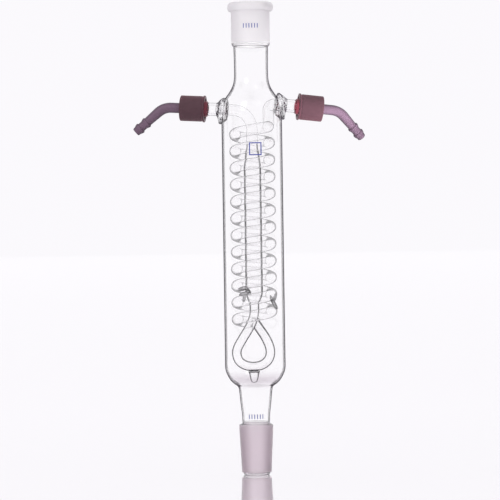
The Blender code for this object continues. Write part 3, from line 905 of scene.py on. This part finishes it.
class CONDENSER_OT_stage(CondenserOperator, bpy.types.Operator):
    """Make the floor, the light and the camera"""

    bl_idname = "condenser.stage"
    bl_label = "Studio"

    def execute(self, context):
        look = context.scene.condenser_stage
        self.floor(look)
        self.surroundings(context, look)
        soft_box = self.lamp("soft_box", "AREA", (-0.8, -1.2, 1.0), (0.0, 0.0, 0.2), 3.5)
        soft_box.shape = "DISK"
        soft_box.size = 0.8
        accent = self.lamp("accent_light", "SPOT", (0.24, -0.17, 0.13), (0.052, 0.0, 0.257), 10.0)
        accent.spot_size = math.radians(17)
        accent.spot_blend = 1.0
        accent.shadow_soft_size = 0.03
        self.camera(context, look)
        return {"FINISHED"}

    def floor(self, look):
        bm = bmesh.new()
        bmesh.ops.create_circle(bm, cap_ends=True, segments=96, radius=40.0)
        mesh = bpy.data.meshes.new("studio_floor")
        bm.to_mesh(mesh)
        bm.free()
        mesh.materials.append(floor_surface("studio table", look.floor))
        new_object("studio_floor", mesh)

    def surroundings(self, context, look):
        """Even light all round, a little weaker overhead."""
        world = bpy.data.worlds.new("studio")
        world.use_nodes = True
        world.node_tree.nodes.clear()
        tree = Tree(world.node_tree)
        direction = tree.node("ShaderNodeTexCoord", {}, (), "Generated")
        z = tree.node("ShaderNodeSeparateXYZ", {}, (direction,), "Z")
        overhead = times(0.95, look.surroundings)
        shade = tree.blend(z.ramp(0.45, 0.95), look.surroundings, overhead)
        light = tree.node("ShaderNodeBackground", {}, {"Color": shade, "Strength": 1.0})
        tree.node("ShaderNodeOutputWorld", {}, {"Surface": light})
        context.scene.world = world

    def lamp(self, name, kind, where, target, power):
        data = bpy.data.lights.new(name, kind)
        data.energy = power
        data.use_shadow = False
        obj = new_object(name, data)
        obj.visible_camera = False
        obj.visible_transmission = False
        obj.visible_glossy = kind == "AREA"
        obj.location = where
        obj.rotation_mode = "QUATERNION"
        obj.rotation_quaternion = (Vector(target) - Vector(where)).to_track_quat("-Z", "Y")
        return data

    def camera(self, context, look):
        data = bpy.data.cameras.new("camera")
        data.lens = look.lens
        data.clip_end = 100.0
        obj = new_object("camera", data)
        aside, target_height = -2.6 * MM, 160.5 * MM
        eye = Vector((aside, -look.camera_distance, look.eye_height))
        sight = Vector((aside, 0, target_height)) - eye
        turn = sight.to_track_quat("-Z", "Y").to_matrix()
        turn = turn @ Matrix.Rotation(-look.camera_roll, 3, "Z")
        obj.matrix_world = Matrix.Translation(eye) @ turn.to_4x4()
        context.scene.camera = obj
        context.scene.view_settings.view_transform = "Standard"
        cycles = context.scene.cycles
        cycles.max_bounces = cycles.transmission_bounces = GLASS_BOUNCES
        cycles.glossy_bounces = GLOSSY_BOUNCES


class CONDENSER_OT_jacket(CondenserOperator, bpy.types.Operator):
    """Make the jacket with both its necks, with room for the ring seals"""

    bl_idname = "condenser.jacket"
    bl_label = "Jacket"

    def execute(self, context):
        sizes, look = context.scene.condenser_sizes, context.scene.condenser_glass
        glass = clear_glass("clear glass", look, (0.67, 0.77), 0.9, (1, 1, 0.04))
        mesh = lathe("jacket_glass", split(jacket_outline(sizes.wall), 6 * MM), JACKET_STEPS, glass)
        obj = new_object("jacket_blank", mesh)
        hole = split(seal_outline(SEAL_ROOM, bored=False), 0.5 * MM, closed=False)
        for side in SIDES:
            cutter = lathe(f"{side}_hole", hole, JOINT_STEPS, glass, closed=False)
            cut = obj.modifiers.new(side, "BOOLEAN")
            cut.operation = "DIFFERENCE"
            cut.solver = "EXACT"
            cut.object = new_object(f"{side}_hole", leaned(cutter, side))
        cutters = [cut.object for cut in obj.modifiers]
        mesh = baked(obj)
        for cutter in cutters:
            bpy.data.objects.remove(cutter, do_unlink=True)
        mesh.shade_smooth()
        mesh.set_sharp_from_angle(angle=SHARP_ANGLE)
        slim, painted_bowl_shade = (mesh.attributes.new(name, "FLOAT", "POINT").data for name in ("slim", "painted_bowl_shade"))
        # How much of the painted bowl shade each point gets: most at BOWL_Z, none beyond BOWL_HALF.
        for vertex, narrow, bowl_shade_share in zip(mesh.vertices, slim, painted_bowl_shade):
            narrow.value = float(vertex.co.xy.length < NECK_LIMIT)
            bowl_shade_share.value = max(0.0, 1 - abs(vertex.co.z - BOWL_Z) / BOWL_HALF)
        place("jacket_glass", mesh, "glass", "clear_glass", "jacket", "upper_neck", "lower_neck")
        return {"FINISHED"}


class CONDENSER_OT_ground_joints(CondenserOperator, bpy.types.Operator):
    """Make the ground socket and the ground cone"""

    bl_idname = "condenser.ground_joints"
    bl_label = "Ground joints"

    def execute(self, context):
        sizes, look = context.scene.condenser_sizes, context.scene.condenser_glass
        self.socket(sizes, look)
        self.cone(sizes, look)
        return {"FINISHED"}

    def socket(self, sizes, look):
        ground_end = OVERALL_Z - GROUND_LENGTH
        rim_z = OVERALL_Z - RIM_HEIGHT
        corners = [
            (UPPER_NECK_R, SOCKET_Z, 0),
            (SOCKET_R - 0.5 * MM, SOCKET_Z + 0.8 * MM, 0.8 * MM),
            (SOCKET_R, SOCKET_Z + 2.4 * MM, 1.5 * MM),
            (SOCKET_R, rim_z - 0.4 * MM, 1.0 * MM),
            (RIM_R - 0.6 * MM, rim_z + 0.1 * MM, 1.1 * MM),
            (RIM_R, rim_z + 1.8 * MM, 1.2 * MM),
            (RIM_R, OVERALL_Z - 1.8 * MM, 1.2 * MM),
            (RIM_R - 1.3 * MM, OVERALL_Z, 1.0 * MM),
            (JOINT_R + 0.5 * MM, OVERALL_Z, 0.5 * MM),
            (JOINT_R, OVERALL_Z - 1.0 * MM, 0.6 * MM),
            (JOINT_SMALL_R, ground_end, 0.5 * MM),
            (UPPER_NECK_R - sizes.wall, SOCKET_Z + 1.5 * MM, 0.5 * MM),
            (UPPER_NECK_R - sizes.wall, SOCKET_Z, 0),
        ]
        frosted = ground_glass(
            "ground socket glass", look, look.socket, look.painted_socket_edge_shade, (0.15, 0.8), 0.55,
            ground_end, OVERALL_Z + 5 * MM)
        mesh = lathe("socket_joint_glass", split(rounded(corners), 1.5 * MM), JOINT_STEPS, frosted)
        place_glass(mesh, "socket_joint", "ground_glass")

    def cone(self, sizes, look):
        ground_top = CONE_GROUND_Z + GROUND_LENGTH
        corners = [
            (CONE_TIP_R - 0.8 * MM, 0, 0.6 * MM),
            (CONE_TIP_R, 0.7 * MM, 0.6 * MM),
            (CONE_TIP_R, CONE_GROUND_Z - 0.3 * MM, 0.2 * MM),
            (JOINT_SMALL_R, CONE_GROUND_Z + 0.2 * MM, 0.3 * MM),
            (JOINT_R, ground_top, 0.4 * MM),
            (JOINT_R + 0.1 * MM, CONE_TOP_Z - 2.2 * MM, 0.9 * MM),
            (LOWER_NECK_R + 0.1 * MM, CONE_TOP_Z - 1.3 * MM, 0.7 * MM),
            (LOWER_NECK_R, CONE_TOP_Z, 0),
            (LOWER_NECK_R - sizes.wall, CONE_TOP_Z, 0),
            (LOWER_NECK_R - sizes.wall, CONE_TOP_Z - 1.6 * MM, 1.0 * MM),
            (JOINT_R - CONE_WALL, ground_top + 1.6 * MM, 1.0 * MM),
            (JOINT_R - CONE_WALL, ground_top, 0.3 * MM),
            (JOINT_SMALL_R - CONE_WALL, CONE_GROUND_Z + 1.0 * MM, 0.5 * MM),
            (CONE_TIP_R - 1.6 * MM, 0, 0.3 * MM),
        ]
        frosted = ground_glass(
            "ground cone glass", look, look.cone, look.painted_cone_edge_shade, (0.04, 0.34), 0.8,
            CONE_GROUND_Z, CONE_TOP_Z - 2.4 * MM)
        mesh = lathe("cone_joint_glass", split(rounded(corners), 1.5 * MM), JOINT_STEPS, frosted)
        place_glass(mesh, "cone_joint", "ground_glass")


def coil_point(degrees, radius):
    angle = math.radians(degrees)
    height = COIL_LEFT_Z + COIL_PITCH * (degrees - 180.0) / 360.0
    return Vector((radius * math.cos(angle), radius * math.sin(angle), height))


class CONDENSER_OT_cooling_tubes(CondenserOperator, bpy.types.Operator):
    """Make the coil, the feed tube, the centre tube and the lower loop"""

    bl_idname = "condenser.cooling_tubes"
    bl_label = "Cooling tubes"

    def execute(self, context):
        sizes, look = context.scene.condenser_sizes, context.scene.condenser_glass
        self.coil_glass = clear_glass("coil glass", look, (0.60, 0.76), 0.60, ripple=0.005 * MM)
        self.feed_glass = clear_glass("feed tube glass", look, (0.50, 0.72), 0.35)
        self.centre_glass = clear_glass("centre tube glass", look, (0.47, 0.60), 0.95, (1, 1, 0.05))
        self.loop_glass = clear_glass("loop glass", look, (0.30, 0.46), 0.94)
        self.coil(sizes)
        self.feed_tube(sizes)
        self.centre_tube(sizes)
        self.lower_loop(sizes)
        return {"FINISHED"}

    def coil(self, sizes):
        """The helix, and the riser with its elbow that takes its top end to the right arm."""
        span = COIL_END_DEG - COIL_START_DEG
        steps = round(span / 360 * sizes.turn_steps)
        radius = sizes.coil_radius
        path = [coil_point(COIL_START_DEG + span * i / steps, radius) for i in range(steps + 1)]
        foot = path[-1] + (path[-1] - path[-2]).normalized() * RISER_LEAD
        foot.xy = foot.xy.normalized() * RISER_REACH
        arm = arm_matrix("right")
        arm_end = arm @ Vector((0, 0, SEAL_IN - WELD_GAP))
        near_end = arm @ Vector((0, 0, SEAL_IN - ELBOW_LEAD))
        head = Vector((foot.x, foot.y, arm_end.z - ELBOW_LEAD))
        path += rounded_path([path[-1], foot, head, near_end, arm_end], RISER_BENDS, 8.0)[1:]
        mesh = even_tube("coil_glass", path, sizes.tube_radius, sizes.tube_bore,
                         self.coil_glass, self.tree(tube_tree))
        place_glass(mesh, "coil")

    def feed_tube(self, sizes):
        """From the left arm's ring seal inwards, then down onto the condenser's axis."""
        arm = arm_matrix("left")
        start = arm @ Vector((0, 0, SEAL_IN - WELD_GAP))
        corner = arm @ Vector((0, 0, 0))
        end = Vector((0, 0, CENTRE_TOP_Z + WELD_GAP))
        path = rounded_path([start, corner, end], (FEED_BEND_R,), 4.0)
        mesh = even_tube("feed_tube_glass", path, sizes.tube_radius, sizes.tube_bore,
                         self.feed_glass, self.tree(tube_tree), 32)
        place_glass(mesh, "feed_tube")

    def centre_tube(self, sizes):
        wide, narrow = sizes.centre_radius, sizes.tube_radius
        shape = [
            (narrow, CENTRE_BOTTOM_Z),
            (narrow + 0.5 * MM, CENTRE_BOTTOM_Z + 1.6 * MM),
            (wide - 0.4 * MM, CENTRE_BOTTOM_Z + 5.5 * MM),
            (wide, CENTRE_BOTTOM_Z + 9.5 * MM),
            (wide, CENTRE_BOTTOM_Z + 15.0 * MM),
        ]
        top = [
            (wide, CENTRE_TOP_Z - 20.0 * MM),
            (wide - 0.1 * MM, CENTRE_TOP_Z - 16.0 * MM),
            (narrow + 1.0 * MM, CENTRE_TOP_Z - 8.0 * MM),
            (narrow + 0.2 * MM, CENTRE_TOP_Z - 3.5 * MM),
            (narrow, CENTRE_TOP_Z),
        ]
        outer = [p for part in (shape, top) for p in smooth_path([Vector(q) for q in part], 5)]
        inner = [p - Vector((CENTRE_WALL, 0)) for p in outer]
        outline = split([tuple(p) for p in outer + inner[::-1]], 4 * MM)
        mesh = lathe("centre_tube_glass", outline, TUBE_STEPS, self.centre_glass)
        place_glass(mesh, "centre_tube")

    def lower_loop(self, sizes):
        """Down in front to the left, round the bottom, and up behind to the coil's start."""
        points = [Vector(p) * MM for p in (
            (0.0, 0.0, CENTRE_BOTTOM_Z / MM - 0.02),
            (-0.2, -0.2, 116.5),
            (-1.2, -1.2, 110.8),
            (-3.8, -2.3, 105.2),
            (-8.3, -3.0, 98.0),
            (-12.0, -2.6, 91.6),
            (-13.1, -1.6, 86.6),
            (-11.4, -0.8, 81.4),
            (-6.9, -0.2, 78.2),
            tuple(LOOP_BOTTOM / MM),
            (5.0, 0.4, 78.4),
            (9.3, 0.9, 81.8),
            (10.9, 1.6, 86.6),
            (10.2, 2.8, 91.8),
            (7.4, 5.2, 98.0),
            (3.4, 9.6, 104.0),
        )]
        last = coil_point(COIL_START_DEG, sizes.coil_radius)
        ahead = coil_point(COIL_START_DEG + 360 / sizes.turn_steps, sizes.coil_radius) - last
        ahead.normalize()
        points.append(last - ahead * LOOP_LEAD)
        path = smooth_path(points, 8) + [last - ahead * WELD_GAP]
        mesh = even_tube("lower_loop_glass", path, sizes.loop_radius, sizes.loop_bore,
                         self.loop_glass, self.tree(tube_tree), 32)
        place_glass(mesh, "lower_loop")


class CONDENSER_OT_welds(CondenserOperator, bpy.types.Operator):
    """Make the drip tip and the two braces"""

    bl_idname = "condenser.welds"
    bl_label = "Drip tip and braces"

    def execute(self, context):
        sizes, look = context.scene.condenser_sizes, context.scene.condenser_glass
        glass = clear_glass("weld glass", look, (0.22, 0.50), 0.93, ripple=0.03 * MM)
        self.drip_tip(sizes, glass)
        left = [
            ((-10.2, -4.4, 132.6), (-5.9, -3.0, 133.4), 1.5),
            ((-6.2, -3.4, 133.4), (-3.2, -6.6, 130.4), 1.3),
            ((-9.6, -6.0, 128.8), (-4.4, -5.4, 130.4), 1.4),
            ((-7.6, -5.6, 124.6), (-6.2, -5.0, 130.4), 1.2),
        ]
        right = [
            ((11.6, -7.6, 127.2), (12.9, -6.6, 123.0), 1.1),
            ((15.4, -5.2, 129.0), (13.2, -6.2, 123.2), 1.2),
            ((12.9, -6.6, 124.0), (15.6, -4.4, 118.8), 1.3),
        ]
        lumpy = clear_glass("brace glass", look, (-0.15, 0.38), 0.9, ripple=0.03 * MM)
        self.brace("left_brace", left, lumpy, 1.0)
        self.brace("right_brace", right, lumpy, 2.0)
        return {"FINISHED"}

    def drip_tip(self, sizes, glass):
        """A solid finger of glass that hangs from the loop."""
        top = LOOP_BOTTOM.z - sizes.loop_radius - WELD_GAP
        corners = [
            (0, top, 0),
            (4.3 * MM, top, 0.25 * MM),
            (3.7 * MM, top - 1.2 * MM, 0.6 * MM),
            (2.9 * MM, DRIP_TIP_Z + 3.6 * MM, 0.8 * MM),
            (2.0 * MM, DRIP_TIP_Z + 0.3 * MM, 1.2 * MM),
            (0, DRIP_TIP_Z, 0),
        ]
        outline = split(rounded(corners, closed=False), 0.8 * MM, closed=False)
        mesh = lathe("drip_tip_glass", outline, 40, glass, closed=False)
        mesh.transform(Matrix.Translation((LOOP_BOTTOM.x, LOOP_BOTTOM.y, 0)))
        place_glass(mesh, "drip_tip")

    def brace(self, node, strands, glass, seed):
        """Strands of melted glass, run together: each has two ends and a radius, in millimetres."""
        bm = bmesh.new()
        for start, end, radius in strands:
            start, end = Vector(start) * MM, Vector(end) * MM
            run = end - start
            turn = run.to_track_quat("Z", "Y").to_matrix().to_4x4()
            stretch = Matrix.Diagonal((radius * MM, radius * MM, run.length / 2 + radius * MM, 1))
            where = Matrix.Translation((start + end) / 2) @ turn @ stretch
            bmesh.ops.create_icosphere(bm, subdivisions=3, radius=1.0, matrix=where)
        mesh = bpy.data.meshes.new(node)
        bm.to_mesh(mesh)
        bm.free()
        obj = new_object(node, mesh)
        remesh = obj.modifiers.new("run together", "REMESH")
        remesh.mode = "VOXEL"
        remesh.voxel_size = 0.22 * MM
        soften = obj.modifiers.new("soften", "SMOOTH")
        soften.factor = 0.6
        soften.iterations = 8
        mesh = self.tree(worked_tree).apply(
            baked(obj), node, Depth=0.35 * MM,
            **{"Lump Size": 1.8 * MM, "Seed": seed, "Material": glass})
        mesh.shade_smooth()
        place_glass(mesh, node)


class CONDENSER_OT_ring_seals(CondenserOperator, bpy.types.Operator):
    """Make the lumps of fused glass where the side arms pass the wall"""

    bl_idname = "condenser.ring_seals"
    bl_label = "Ring seals"

    def execute(self, context):
        look = context.scene.condenser_glass
        glass = clear_glass("seal glass", look, (0.48, 0.72), 0.75, ripple=0.05 * MM)
        for seed, side in enumerate(SIDES):
            mesh = lathe(f"{side}_ring_seal", split(seal_outline(), 0.35 * MM), JOINT_STEPS, glass)
            mesh = self.tree(worked_tree).apply(
                mesh, side, Depth=0.45 * MM,
                **{"Lump Size": 2.4 * MM, "Seed": 5.0 + seed, "Material": glass})
            mesh.shade_smooth()
            place_glass(leaned(mesh, side), f"{side}_ring_seal")
        return {"FINISHED"}


class CONDENSER_OT_side_arms(CondenserOperator, bpy.types.Operator):
    """Make the two side arms with their screw threads"""

    bl_idname = "condenser.side_arms"
    bl_label = "Side arms"

    def execute(self, context):
        look = context.scene.condenser_glass
        glass = arm_glass("arm glass", look, context.scene.condenser_fittings.foot)
        corners = [
            (ARM_TUBE_R, SEAL_OUT + WELD_GAP, 0),
            (ARM_TUBE_R, 31.3 * MM, 0.3 * MM),
            (ARM_TUBE_R + 0.8 * MM, 31.8 * MM, 0.4 * MM),
            (ARM_TUBE_R + 1.0 * MM, 33.6 * MM, 0.6 * MM),
            (THREAD_CORE_R, 34.4 * MM, 0.6 * MM),
            (THREAD_CORE_R, ARM_MOUTH, 0.7 * MM),
            (ARM_MOUTH_BORE_R, ARM_MOUTH, 0.4 * MM),
            (ARM_MOUTH_BORE_R, 36.0 * MM, 1.0 * MM),
            (ARM_BORE_R, 33.0 * MM, 1.0 * MM),
            (ARM_BORE_R, SEAL_OUT + WELD_GAP, 0),
        ]
        outline = split(rounded(corners), 0.16 * MM)
        thread = thread_values(*GLASS_THREAD, THREAD_CORE_R, THREAD_CREST_R, glass)
        for side in SIDES:
            mesh = lathe(f"{side}_side_arm", outline, FITTING_STEPS, glass)
            mesh = self.tree(thread_tree).apply(mesh, side, **thread)
            mesh.shade_smooth()
            along = mesh.attributes.new("along", "FLOAT", "POINT")
            along.data.foreach_set("value", [vertex.co.z for vertex in mesh.vertices])
            mesh.transform(arm_matrix(side))
            place_glass(mesh, f"{side}_side_arm")
        return {"FINISHED"}


class CONDENSER_OT_screw_caps(CondenserOperator, bpy.types.Operator):
    """Make the two screw caps with their grip ribs and threads"""

    bl_idname = "condenser.screw_caps"
    bl_label = "Screw caps"

    def execute(self, context):
        look = context.scene.condenser_fittings
        # The caps' rim is painted light: lighter red where they are seen edge on.
        plastic = moulded_plastic("cap plastic", look.cap, look.painted_cap_rim_light, 0.34, (0.25, 0.85))
        corners = [
            (CAP_INNER_R + 0.5 * MM, CAP_MOUTH, 0.2 * MM),
            (CAP_LIP_R, CAP_MOUTH, 0.3 * MM),
            (CAP_LIP_R, CAP_MOUTH + 1.1 * MM, 0.3 * MM),
            (CAP_R - 0.2 * MM, CAP_MOUTH + 1.6 * MM, 0.2 * MM),
            (CAP_R - 0.2 * MM, CAP_MOUTH + 2.1 * MM, 0.1 * MM),
            (CAP_R, CAP_MOUTH + 2.4 * MM, 0.2 * MM),
            (CAP_R, CAP_END - 0.4 * MM, 0.2 * MM),
            (CAP_R - 0.4 * MM, CAP_END, 0.2 * MM),
            (CAP_OPENING_R + 1.6 * MM, CAP_END, 0.2 * MM),
            (CAP_OPENING_R + 1.2 * MM, CAP_END - 0.3 * MM, 0.2 * MM),
            (CAP_OPENING_R, CAP_END - 0.3 * MM, 0.15 * MM),
            (CAP_OPENING_R, CAP_END - CAP_END_WALL, 0.15 * MM),
            (CAP_INNER_R, CAP_END - CAP_END_WALL, 0.3 * MM),
            (CAP_INNER_R, CAP_MOUTH + 0.9 * MM, 0.3 * MM),
        ]
        outline = split(rounded(corners), 0.22 * MM)
        thread = thread_values(*CAP_THREAD, CAP_INNER_R, CAP_CREST_R, plastic, THREAD_PITCH)
        ribs = {
            "Ribs": look.ribs, "Depth": look.rib_depth, "Outer Radius": CAP_R, "Material": plastic}
        for side in SIDES:
            mesh = lathe(f"{side}_screw_cap", outline, look.ribs * 6, plastic)
            mesh = self.tree(thread_tree).apply(mesh, side, **thread)
            mesh = self.tree(ribs_tree).apply(mesh, side, **ribs)
            mesh.shade_smooth()
            mesh.transform(arm_matrix(side))
            place(f"{side}_screw_cap_body", mesh, f"{side}_cap", "cap_plastic", f"{side}_screw_cap")
        return {"FINISHED"}


class CONDENSER_OT_sealing_rings(CondenserOperator, bpy.types.Operator):
    """Make the two silicone sealing rings"""

    bl_idname = "condenser.sealing_rings"
    bl_label = "Sealing rings"

    def execute(self, context):
        rubber = silicone("silicone", context.scene.condenser_fittings.ring)
        low = ARM_MOUTH + FITTING_GAP
        high = low + RING_THICKNESS
        corners = [
            (RING_BORE_R, low, 0.3 * MM),
            (RING_R, low, 0.4 * MM),
            (RING_R, high, 0.4 * MM),
            (RING_BORE_R, high, 0.3 * MM),
        ]
        for side in SIDES:
            mesh = lathe(f"{side}_sealing_ring", rounded(corners), FITTING_STEPS, rubber)
            mesh.transform(arm_matrix(side))
            place(f"{side}_sealing_ring_body", mesh, f"{side}_ring", "ring_silicone",
                  f"{side}_sealing_ring")
        return {"FINISHED"}


class CONDENSER_OT_hose_barbs(CondenserOperator, bpy.types.Operator):
    """Make the two bent hose barbs"""

    bl_idname = "condenser.hose_barbs"
    bl_label = "Hose barbs"

    def execute(self, context):
        look = context.scene.condenser_fittings
        # The barbs' rim is painted shade: darker where they are seen edge on.
        plastic = moulded_plastic("barb plastic", look.barb, look.painted_barb_rim_shade, 0.38, (0.15, 0.75))
        shape, bend, bend_end = self.shape()
        path = [self.centre_line(distance, bend, bend_end) for distance, _ in shape]
        outer = [radius for _, radius in shape]
        bore = [BARB_BORE_R] * len(path)
        for side, swivel in SIDES.items():
            mesh = tube(
                f"{side}_hose_barb", path, outer, bore, TUBE_STEPS, plastic, self.tree(tube_tree))
            mesh.set_sharp_from_angle(angle=BARB_SHARP_ANGLE)
            turn = Matrix.Rotation(math.radians(swivel), 4, "Z")
            mesh.transform(arm_matrix(side) @ turn)
            place(
                f"{side}_hose_barb_body", mesh, f"{side}_barb", "barb_plastic",
                f"{side}_hose_barb")
        return {"FINISHED"}

    def shape(self):
        """The outer radius at distances along the centre line, with its rounded edges as arcs."""
        flange = ARM_MOUTH + 2 * FITTING_GAP + RING_THICKNESS
        flange_top = flange + FLANGE_THICKNESS
        bend = CAP_END + BARB_STRAIGHT
        bend_end = bend + BARB_BEND_R * math.radians(BARB_BEND_DEG)
        corners = [
            (SPIGOT_R - 0.4 * MM, SPIGOT_START, 0),
            (SPIGOT_R, SPIGOT_START + 0.5 * MM, 0.2 * MM),
            (SPIGOT_R, flange - 0.05 * MM, 0.1 * MM),
            (FLANGE_R, flange, 0.15 * MM),
            (FLANGE_R, flange_top, 0.15 * MM),
            (BARB_R, flange_top + 0.05 * MM, 0.1 * MM),
            (BARB_R, bend, 0),
            (BARB_R, bend_end, 0),
        ]
        for ridge in BARB_RIDGES:
            crest = bend_end + ridge
            corners += [
                (BARB_TIP_R + 0.15 * MM, crest - 1.1 * MM, 0.4 * MM),
                (BARB_RIDGE_R, crest - 0.5 * MM, 0.25 * MM),
                (BARB_RIDGE_R - 0.05 * MM, crest + 0.6 * MM, 0.4 * MM),
                (BARB_TIP_R + 0.1 * MM, crest + 2.6 * MM, 1.0 * MM),
            ]
        corners += [
            (BARB_TIP_R, bend_end + BARB_TAIL - 0.4 * MM, 0.3 * MM),
            (BARB_TIP_R - 0.35 * MM, bend_end + BARB_TAIL, 0),
        ]
        outline = split(rounded(corners, closed=False), 0.8 * MM, closed=False)
        return [(distance, radius) for radius, distance in outline], bend, bend_end

    def centre_line(self, distance, bend, bend_end):
        """In the arm's frame: out along local Z, then bent towards -X, which is downwards."""
        turn = math.radians(BARB_BEND_DEG)
        angle = min(max((distance - bend) / BARB_BEND_R, 0), turn)
        tail = max(distance - bend_end, 0)
        drop = BARB_BEND_R * (1 - math.cos(angle)) + tail * math.sin(turn)
        reach = min(distance, bend) + BARB_BEND_R * math.sin(angle) + tail * math.cos(turn)
        return Vector((-drop, 0, reach))


class CONDENSER_OT_enamel_marks(CondenserOperator, bpy.types.Operator):
    """Make the plain enamel marks on the socket, the jacket and the lower neck"""

    bl_idname = "condenser.enamel_marks"
    bl_label = "Enamel marks"

    def execute(self, context):
        blue = enamel("blue enamel", context.scene.condenser_glass.enamel)
        self.blue = blue
        ticks = [(x, 0.0, 0.6, 3.2) for x in range(-5, 6, 2)]
        self.mark("socket_marks", SOCKET_R, 319.8 * MM, 0.0, ticks)
        self.mark("neck_marks", LOWER_NECK_R + 0.12 * MM, 42.0 * MM, 0.0, ticks)
        field = [(0, 4.2, 9.0, 0.8), (0, -4.2, 9.0, 0.8), (-4.1, 0, 0.8, 7.6), (4.1, 0, 0.8, 7.6)]
        self.mark("jacket_marks", JACKET_R, 232.0 * MM, 2.2 * MM, field)
        return {"FINISHED"}

    def mark(self, name, radius, height, aside, bars):
        """Thin bars printed on the front: each has its place and its size, in millimetres."""
        bm = bmesh.new()
        for x, z, width, tall in bars:
            self.bar(bm, radius, height + z * MM, aside + x * MM, width * MM, tall * MM)
        place(name, mesh_of(bm, name, self.blue), "glass", "clear_glass")

    def bar(self, bm, radius, height, aside, width, tall, lift=0.03 * MM, thick=0.06 * MM):
        steps = max(2, round(width / (0.6 * MM)))
        rows = []
        for k in range(steps + 1):
            angle = -math.pi / 2 + (aside + width * (k / steps - 0.5)) / radius
            row = []
            for r, z in ((lift, -0.5), (lift + thick, -0.5), (lift + thick, 0.5), (lift, 0.5)):
                across = radius + r
                row.append(bm.verts.new(
                    (across * math.cos(angle), across * math.sin(angle), height + z * tall)))
            rows.append(row)
        for one, two in zip(rows, rows[1:]):
            for i in range(4):
                j = (i + 1) % 4
                bm.faces.new((one[i], one[j], two[j], two[i]))
        bm.faces.new(rows[0])
        bm.faces.new(rows[-1])


class CONDENSER_PT_panel(bpy.types.Panel):
    """Lists what makes the condenser"""

    bl_idname = "CONDENSER_PT_panel"
    bl_label = "Condenser"
    bl_space_type = "VIEW_3D"
    bl_region_type = "UI"
    bl_category = "Condenser"

    def draw(self, context):
        layout = self.layout
        for group in (context.scene.condenser_sizes, context.scene.condenser_glass,
                      context.scene.condenser_fittings, context.scene.condenser_stage):
            box = layout.box()
            for name in group.__annotations__:
                box.prop(group, name)
        for operator in OPERATORS:
            layout.operator(operator.bl_idname)


SETTINGS = {
    "condenser_sizes": GlassSizes,
    "condenser_glass": GlassLook,
    "condenser_fittings": FittingLook,
    "condenser_stage": StageLook,
}
OPERATORS = (
    CONDENSER_OT_stage,
    CONDENSER_OT_jacket,
    CONDENSER_OT_ground_joints,
    CONDENSER_OT_cooling_tubes,
    CONDENSER_OT_welds,
    CONDENSER_OT_ring_seals,
    CONDENSER_OT_side_arms,
    CONDENSER_OT_screw_caps,
    CONDENSER_OT_sealing_rings,
    CONDENSER_OT_hose_barbs,
    CONDENSER_OT_enamel_marks,
)


def register():
    for made in (*SETTINGS.values(), *OPERATORS, CONDENSER_PT_panel):
        bpy.utils.register_class(made)
    for name, group in SETTINGS.items():
        setattr(bpy.types.Scene, name, PointerProperty(type=group))


def unregister():
    for name in SETTINGS:
        delattr(bpy.types.Scene, name)
    for made in reversed((*SETTINGS.values(), *OPERATORS, CONDENSER_PT_panel)):
        bpy.utils.unregister_class(made)


def main():
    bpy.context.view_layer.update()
    register()
    for operator in OPERATORS:
        name = operator.bl_idname.split(".")[1]
        getattr(bpy.ops.condenser, name)()


if __name__ == "__main__":
    main()
